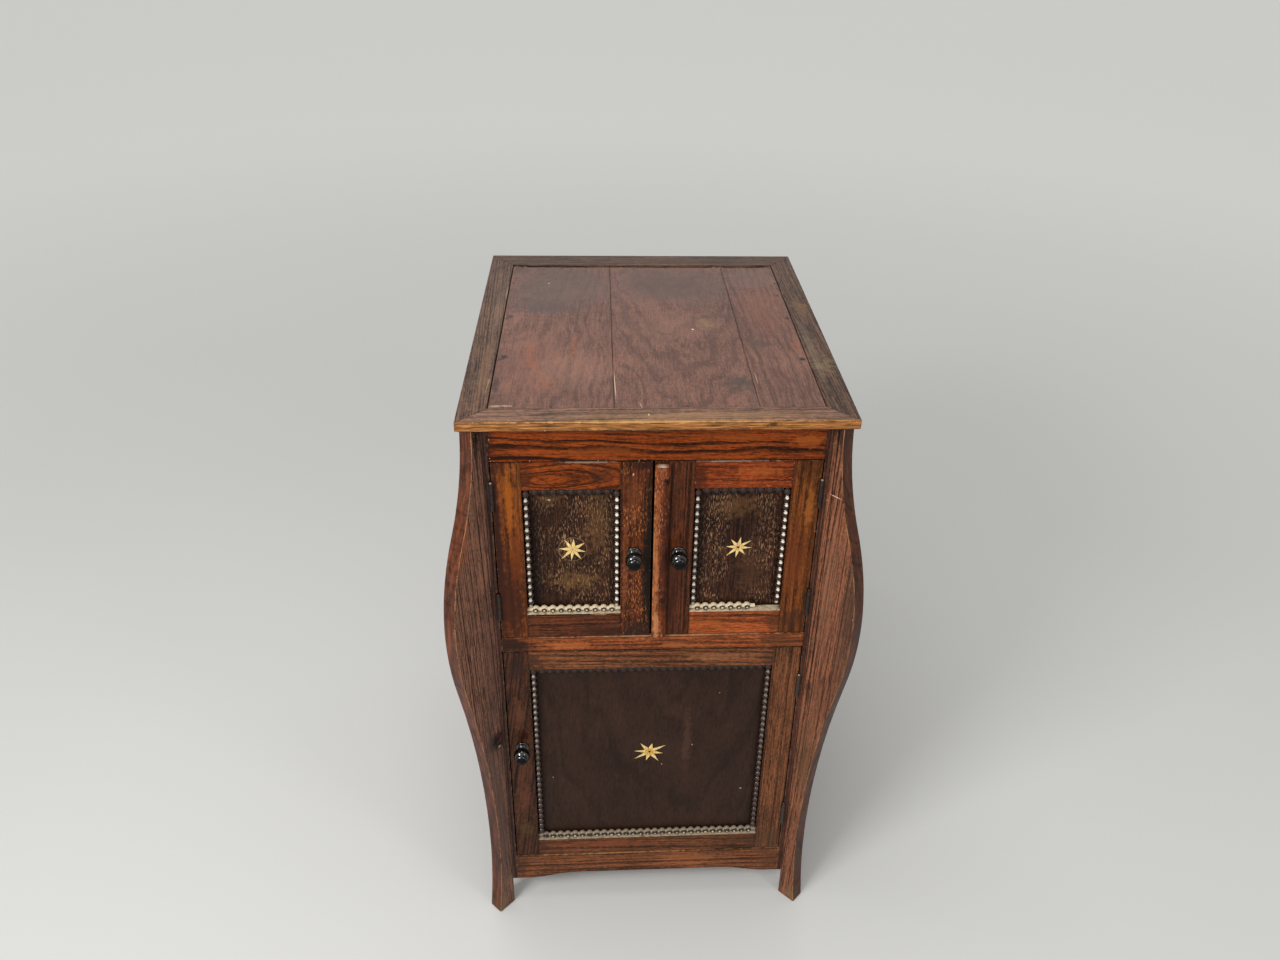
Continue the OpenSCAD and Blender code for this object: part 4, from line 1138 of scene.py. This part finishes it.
    def panel(self, door):
        """A panel, darkened along its beads by painted shade."""
        c = colours()
        node = f"{door}_panel"
        low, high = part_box(node)
        x, _, z = middle_of(node)
        if door == "lower":
            f = wood(
                node, c.lower, (x + 30, 60, z), tilt=(9, 4, 0), ring=11,
                wobble=22, contrast=0.13, streaks=0.3, fibre=0.7, mottle=0.3, pores=0.3,
                clouds=0.5, rough=0.4, light=1.6, dark=0.5,
            )
            marks(f, (
                (0x54392C, 0.4, 50, 320, 9, 70, 0.5),
                (0xD0A468, 0.9, 16, 276, 1.2, 1.2, 0),
                (0xC8BBB0, 0.9, 132, 222, 2.6, 1, 0, 10),
                (0xC09868, 0.8, 58, 313, 1.2, 1.8, 0),
                (0xB08A68, 0.8, 92, 410, 1.3, 1, 0),
                (0xB08A68, 0.8, -138, 255, 1.1, 1.6, 0),
            ), PANEL_FRONT, 3)
        else:
            f = wood(
                node, c.panel, (x + 90, -190, z), tilt=(1, 0, 0), ring=3,
                contrast=0.25, flecks=0.75, light=2.2, clouds=0.9, rough=0.45,
                fleck_tone=c.fleck, fleck_side=PANEL_FRONT + 4,
            )
            marks(f, self.PANEL_MARKS[door], PANEL_FRONT, 3)
        if door == "left_upper":
            self.scribed_circle(f, STAR_CENTRES[door])
        margin = Vector((7, 0, 7)) * MM
        # The dark band along the beads is painted shade in the panel's recess
        dress(
            node, f, block(low, high), box=(low + margin, high - margin), reach=20 * MM,
            grime=0.9, rub=0,
        )

    def scribed_circle(self, f, centre):
        """The marker's circle that was scratched round the first star."""
        local = f.map(f.place, mm((centre[0], 0, centre[1])))
        far = f.length(f.times(local, (1, 0, 1)))
        off = f.math("ABSOLUTE", f.math("SUBTRACT", far, self.CIRCLE * MM))
        y = f.split(f.place)[1]
        front = f.range(y, (PANEL_FRONT + 2) * MM, (PANEL_FRONT + 1) * MM, 0.0, 0.35)
        f.paint(linear(0x9A7A5A), f.range(off, 0.7 * MM, 0.2 * MM), front)

    def strip(self):
        """The meeting strip, hand-planed, with rubbed bevels."""
        c = colours()
        f = wood(
            "meeting_strip", shade(c.red, 0.8, 0.96), (60, -200, 300), flecks=0.8,
            clouds=1.2, ring=4, fleck_tone=linear(0xB07C5E), fleck_side=FRONT - 4,
        )
        marks(f, (
            (0x34140D, 0.8, 10, 655, 8, 140, 0.4),
            (0x9A5C34, 0.5, -1.5, 655, 3.5, 125, 0.8),
            (0x120706, 0.95, 10, 762, 4.6, 7),
            (0x120706, 0.95, 10.5, 654, 4.6, 7),
            (0x120706, 0.95, 9.5, 587, 4.6, 7),
            (0x35180F, 0.7, 10, 655, 4, 22, 0.6),
            (0x35180F, 0.6, 9, 585, 3, 18, 0.6),
            (0xA8683E, 0.6, 0, 620, 3, 80, 0.9),
            (0xB07A50, 0.6, 2, 545, 4, 30, 0.9),
            (0xC08458, 0.6, -3.6, 655, 1.3, 128, 0.8),
            (0xC9B9A4, 0.9, 5, 783.4, 10, 1.6, 0.2),
        ), face=FRONT - 8)
        bm = merged("meeting_strip")
        round_arrises(bm, 1.2 * MM)
        slice_up(bm, 2, *self.PLANED)
        for vert in bm.verts:
            if vert.co.y < (FRONT - 3) * MM:
                at = vert.co * 70
                vert.co.x += 0.5 * MM * noise.noise(at)
                vert.co.y += 0.5 * MM * (noise.noise(at + Vector((7, 0, 0))) + 0.6)
        dress("meeting_strip", f, bm, rounded=False, reach=3.5 * MM, grime=0.2, rub=0.4)

    def execute(self, context):
        c = colours()
        for node, (tone, factor, heart, tilt, more) in self.BOARDS.items():
            part = next(part for part in self.PARTS if node.endswith(part))
            rail = part.endswith("rail")
            more = dict(more)
            base = shade(getattr(c, tone), factor, more.pop("warm", 1.0))
            f = wood(node, base, heart, "x" if rail else "z", tilt, **more)
            marks(f, self.MARKS.get(node, ()))
            door = node.removesuffix("_" + part)
            box = self.rail_block(door, part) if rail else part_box(node)
            bm = merged(node) if part == "hinge_stile" else block(*box)
            dress(
                node, f, bm, arris=sizes().joint, box=box, reach=3.5 * MM, grime=0.6,
                rub=0.12, chips=0.3,
            )
        for door in DOORS:
            self.panel(door)
        self.strip()
        keep("strip_nails", plain("Strip nails", c.iron, 0.5, 0.6))
        return {"FINISHED"}


class CABINET_OT_beads(Operator):
    """Finish the bead mouldings and lay the dusty ledges under them"""

    bl_idname = "cabinet.beads"
    bl_label = "Beads"

    # In mm: a bead's radius, how far its middle lies from the frame and the
    # panel, the length of a row that one bead takes, and the rows' width
    RADIUS = 5
    SEAT = 4.4
    PITCH = 10.7
    ROW = 10
    # How far above the front of a bead its painted highlight lies, in degrees
    LIFT = 40
    # For each door: strength of the painted highlights, brightness of the dust, how
    # deep in mm the dust starts, and whether the highlights fade lower down
    DUST_AND_HIGHLIGHTS = {
        "left_upper": (1.0, 1.15, 1.1, False),
        "right_upper": (1.0, 1.15, 1.1, False),
        "lower": (0.5, 0.5, 2.0, True),
    }

    def execute(self, context):
        for door in DOORS:
            node = f"{door}_beads"
            low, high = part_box(node)
            keep(node, self.varnish(node, low, high, *self.DUST_AND_HIGHLIGHTS[door]))
            self.ledge(door, low, high)
        return {"FINISHED"}

    def varnish(self, name, low, high, highlight_strength, dust, deep, fades):
        """Dark varnish, with painted highlights on the upper fronts of the columns' beads.
        On the bottom row the crests are dark with a tiny painted highlight, and the flanks are
        dusty."""
        c = colours()
        f = Finish(name)
        x, y, z = f.split(f.place)
        cloud = f.speckle(150, 3)
        f.colour = f.mix(cloud, shade(c.bead, 0.3), shade(c.bead, 1.1, 1.1))
        front = high.y - (self.SEAT + self.RADIUS) * MM
        depth = f.add_share(f.math("SUBTRACT", y, front), cloud, 1.2 * MM)
        near, far = self.ROW * MM, (self.ROW + 1) * MM
        fade = 1.0
        if fades:
            right = f.range(x, high.x - far, high.x - near, 1.0, 0.4)
            fade = f.product(f.range(z, low.z, high.z, 0.1, 1.0), right)
        below = f.range(z, high.z - near, high.z - far)
        side = f.range(x, low.x + near, low.x + far, 0.65, 1.0)
        # Painted highlights on the beads of the columns, dimmer on the left column, none on the
        # top row
        highlight = self.highlight_spots(f, y, z, low, high)
        f.paint(c.crest_highlight, highlight, highlight_strength, fade, f.product(below, side))
        flank = f.range(depth, deep * MM, (deep + 0.8) * MM)
        dust_and_glint = f.mix(flank, shade(c.bead, 0.8, 1.1), shade(c.dust, dust))
        # A tiny painted highlight on the front of each bead of the bottom row, in a pale dust
        # tone
        dot = f.product(f.range(depth, 0.35 * MM, 0.1 * MM), 0.8)
        dust_and_glint = f.mix(dot, dust_and_glint, shade(c.dust, 1.2))
        f.paint(dust_and_glint, f.range(z, low.z + far, low.z + near))
        shaded = f.product(f.math("SUBTRACT", 1.0, below), 0.4)
        f.rough = f.math("ADD", f.range(cloud, 0.3, 0.7, 0.12, 0.24), shaded)
        return f.close(gloss=0.35)

    def highlight_spots(self, f, y, z, low, high):
        """1 on a small painted highlight in the upper half of each bead's front."""
        inset = self.SEAT + self.RADIUS
        run = (high.z - low.z) / MM - inset
        count = int(run / self.PITCH)
        first = low.z / MM + inset + (run - (count - 1) * self.PITCH) / 2
        bead = f.math("MULTIPLY_ADD", z, 1 / (self.PITCH * MM), 0.5 - first / self.PITCH)
        rise = f.math(
            "MULTIPLY_ADD", f.math("FRACT", bead), self.PITCH * MM, -self.PITCH / 2 * MM
        )
        out = f.math("SUBTRACT", high.y - self.SEAT * MM, y)
        out = f.product(out, cos(radians(self.LIFT)))
        out = f.math("MULTIPLY_ADD", rise, sin(radians(self.LIFT)), out)
        return f.range(out, (self.RADIUS - 0.6) * MM, (self.RADIUS - 0.15) * MM)

    def ledge(self, door, low, high):
        """Dust and old glue along the bottom of the opening."""
        name = f"{door}_ledge"
        f = Finish(name)
        patch = f.speckle(160, 4, 0.65)
        tone = shade(colours().dust, 0.75 if door == "lower" else 1.0)
        f.colour = f.ramp(patch, [
            (0.32, shade(tone, 0.25)), (0.42, shade(tone, 0.75)), (0.6, tone),
            (0.75, shade(tone, 1.3)),
        ])
        f.rough = 0.85
        f.height = patch
        face = FRONT * MM
        bm = block(
            (low.x, face - 0.25 * MM, low.z - 0.1 * MM),
            (high.x, high.y, low.z + sizes().ledge),
        )
        slice_up(bm, 0, low.x / MM, high.x / MM, 3.1)
        for vert in bm.verts:
            if vert.co.y < face + 1 * MM:
                torn = noise.noise(Vector((vert.co.x * 160, 0, 0)))
                vert.co.y += 0.35 * MM * torn
                vert.co.z += 0.2 * MM * torn
        add_piece(bm, name, f"{door}_beads", f.close(0.4))


class CABINET_OT_stars(Operator):
    """Inlay the three hand-cut stars"""

    bl_idname = "cabinet.stars"
    bl_label = "Stars"

    # Each star's points as their angles in degrees and their lengths in mm
    STARS = {
        "left_upper": (
            (-13, 16.5), (33, 18.3), (85, 16.7), (123, 18.1), (175, 17.5), (225, 20.5),
            (263, 16.9), (305, 19),
        ),
        "right_upper": (
            (-3, 17.5), (32, 19), (80, 15.8), (128, 15.6), (175, 15.4), (222, 20),
            (261, 16.3), (309, 14.8),
        ),
        "lower": (
            (-11, 19.3), (27.8, 26), (76.6, 16.6), (128, 21.2), (175, 21.7), (212, 25.5),
            (255, 18), (305, 23),
        ),
    }
    # Half of the seam between two points, in mm, and the waist between them
    # as a share of their mean length
    SEAM = 0.3
    WAIST = 0.36

    def at(self, centre, angle, reach):
        """The place on the panel at an angle and a distance from a centre."""
        return Vector((
            centre[0] + reach * cos(radians(angle)), PANEL_FRONT,
            centre[1] + reach * sin(radians(angle)),
        ))

    def waist(self, points):
        """How far from the centre the notches between the points lie."""
        return self.WAIST * sum(reach for _, reach in points) / len(points)

    def between(self, points):
        """The angle between each point and the next."""
        angles = [angle for angle, _ in points] + [points[0][0] + 360]
        return [(a + b) / 2 for a, b in zip(angles, angles[1:])]

    def kites(self, centre, points):
        """The points as kites that meet at the centre, with seams between."""
        bm = bmesh.new()
        waist = self.waist(points)
        after = self.between(points)
        before = [after[-1] - 360] + after[:-1]
        for (angle, reach), left, right in zip(points, before, after):
            corners = [
                self.at(centre, 0, 0), self.at(centre, left, waist),
                self.at(centre, angle, reach), self.at(centre, right, waist),
            ]
            heart = sum(corners, Vector()) / 4
            bm.faces.new([
                bm.verts.new((corner + (heart - corner).normalized() * self.SEAM) * MM)
                for corner in corners
            ])
        return bm

    def outline(self, centre, points, grow=0.4):
        """The star's outline, a little larger."""
        bm = bmesh.new()
        waist = self.waist(points)
        ring = []
        for (angle, reach), right in zip(points, self.between(points)):
            ring.append(self.at(centre, angle, reach + 2 * grow))
            ring.append(self.at(centre, right, waist + grow))
        bm.faces.new([bm.verts.new(corner * MM) for corner in ring])
        return bm

    def raised(self, bm, thick):
        """Flat faces thickened towards the front."""
        made = bmesh.ops.extrude_face_region(bm, geom=bm.faces[:])
        front = [item for item in made["geom"] if isinstance(item, bmesh.types.BMVert)]
        bmesh.ops.translate(bm, verts=front, vec=(0, -thick, 0))
        return bm

    def inlay(self, door, centre):
        """Pale wood, yellower at the centre, with a prick there on two doors."""
        tone = colours().inlay
        f = Finish(f"{door} inlay")
        grain = f.fibres(f.place, 500, 120, 3)
        f.colour = f.ramp(grain, [
            (0.3, shade(tone, 0.6, 1.1)), (0.5, tone), (0.72, shade(tone, 1.3, 0.97)),
        ])
        deep = 0.75 if door == "lower" else 0.25
        at = (centre[0], PANEL_FRONT, centre[1])
        f.stain(0xC08A28, deep, at, (11, 5, 11), ragged=0.4)
        if door != "left_upper":
            f.stain(0x2A1A0C, 0.95, at, (2.2, 5, 2.2), soft=0.4, ragged=0.1)
        f.rough = f.range(grain, 0.3, 0.7, 0.35, 0.5)
        return f.close(gloss=0.4)

    def execute(self, context):
        for door, points in self.STARS.items():
            centre = STAR_CENTRES[door]
            node = f"{door}_star"
            seam = plain(f"{door} seam", colours().seam, 0.5)
            thin = self.raised(self.outline(centre, points), sizes().proud * 0.4)
            add_piece(thin, f"{door}_star_seam", node, seam, 20)
            thick = self.raised(self.kites(centre, points), sizes().proud)
            star = add_piece(
                thick, f"{door}_star_inlay", node, self.inlay(door, centre), 20
            )
            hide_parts(node)
        return {"FINISHED"}


class CABINET_OT_knobs(Operator):
    """Turn the three black knobs"""

    bl_idname = "cabinet.knobs"
    bl_label = "Knobs"

    # Radius and distance from the door's face in mm, from the foot to the tip
    PROFILE = (
        (0.0, 0.0), (8.6, 0.0), (9.0, 0.5), (9.0, 1.8), (8.5, 2.6), (7.2, 3.0),
        (6.4, 3.2), (6.0, 3.7), (6.3, 4.3), (6.5, 4.8), (6.1, 5.4), (5.4, 5.8),
        (5.2, 7.0), (5.4, 8.2), (6.6, 9.1), (8.6, 10.2), (10.2, 12.0), (11.0, 14.2),
        (11.2, 16.6), (10.9, 18.8), (10.0, 20.8), (8.7, 22.3), (7.9, 22.9), (7.7, 23.5),
        (8.1, 24.1), (8.3, 24.9), (8.0, 25.9), (7.0, 27.2), (5.0, 28.6), (2.6, 29.5),
        (0.0, 29.7),
    )
    # How far from the door's face the knob's dull tip starts, in mm
    TIP = 27.6

    def execute(self, context):
        material = plain("Knobs", colours().knob, 0.04, gloss=0.8, spread=0.02)
        dull = plain("Knob tips", colours().knob, 0.4, gloss=0.12)
        for door in DOORS:
            node = f"{door}_knob"
            low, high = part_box(node)
            centre = Vector(((low.x + high.x) / 2, FRONT * MM, (low.z + high.z) / 2))
            bm = bmesh.new()
            verts = [
                bm.verts.new(centre + Vector((r, -d, 0)) * MM) for r, d in self.PROFILE
            ]
            edges = [bm.edges.new(pair) for pair in zip(verts, verts[1:])]
            bmesh.ops.spin(
                bm, geom=verts + edges, cent=centre, axis=(0, 1, 0), angle=2 * pi,
                steps=48, use_merge=True,
            )
            bmesh.ops.remove_doubles(bm, verts=bm.verts, dist=1e-6)
            piece = add_piece(bm, node + "_turned", node, material, 60)
            piece.data.materials.append(dull)
            for face in piece.data.polygons:
                face.material_index = int(face.center.y < centre.y - self.TIP * MM)
            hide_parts(node)
        return {"FINISHED"}


class CABINET_OT_hinges(Operator):
    """Blacken the hinges and rub their tips"""

    bl_idname = "cabinet.hinges"
    bl_label = "Hinges"

    def execute(self, context):
        for door in DOORS:
            for leaf in ("frame_leaves", "door_leaves"):
                keep(f"{door}_{leaf}", self.iron(f"{door}_{leaf}", door))
        return {"FINISHED"}

    def iron(self, name, door):
        """Blackened iron, rusty in places, with rubbed tips."""
        c = colours()
        f = Finish(name)
        rust = f.speckle(160, 4, 0.6)
        tone = shade(c.iron, 2.2 if door == "lower" else 1.2)
        f.colour = f.ramp(rust, [
            (0.3, shade(tone, 0.4)), (0.5, tone), (0.62, linear(0x4A2E1E)),
            (0.75, shade(tone, 1.8)),
        ])
        low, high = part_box(f"{door}_frame_leaves")
        z = f.split(f.place)[2]
        for end, way in ((low.z, 1), (high.z, -1)):
            f.paint(c.steel, f.range(z, end + way * 2.4 * MM, end + way * 1.2 * MM), 0.8)
        f.shader.inputs["Metallic"].default_value = 0.7
        f.rough = f.range(rust, 0.3, 0.7, 0.35, 0.6)
        return f.close(gloss=0.5)


OPERATORS = (
    CABINET_OT_stage,
    CABINET_OT_top,
    CABINET_OT_legs,
    CABINET_OT_case,
    CABINET_OT_doors,
    CABINET_OT_beads,
    CABINET_OT_stars,
    CABINET_OT_knobs,
    CABINET_OT_hinges,
)


class CABINET_PT_panel(Panel):
    """Sizes, colours and steps of the cabinet"""

    bl_label = "Cabinet"
    bl_idname = "CABINET_PT_panel"
    bl_space_type = "VIEW_3D"
    bl_region_type = "UI"
    bl_category = "Cabinet"

    def draw(self, context):
        for group in (context.scene.cabinet_sizes, context.scene.cabinet_colours):
            box = self.layout.box()
            for name in group.__annotations__:
                box.prop(group, name)
        for operator in OPERATORS:
            self.layout.operator(operator.bl_idname)


CLASSES = (CabinetSizes, CabinetColours, *OPERATORS, CABINET_PT_panel)


def register():
    for cls in CLASSES:
        bpy.utils.register_class(cls)
    bpy.types.Scene.cabinet_sizes = PointerProperty(type=CabinetSizes)
    bpy.types.Scene.cabinet_colours = PointerProperty(type=CabinetColours)


def unregister():
    del bpy.types.Scene.cabinet_colours
    del bpy.types.Scene.cabinet_sizes
    for cls in reversed(CLASSES):
        bpy.utils.unregister_class(cls)


def main():
    register()
    bpy.ops.cabinet.stage()
    bpy.ops.cabinet.top()
    bpy.ops.cabinet.legs()
    bpy.ops.cabinet.case()
    bpy.ops.cabinet.doors()
    bpy.ops.cabinet.beads()
    bpy.ops.cabinet.stars()
    bpy.ops.cabinet.knobs()
    bpy.ops.cabinet.hinges()


if __name__ == "__main__":
    main()
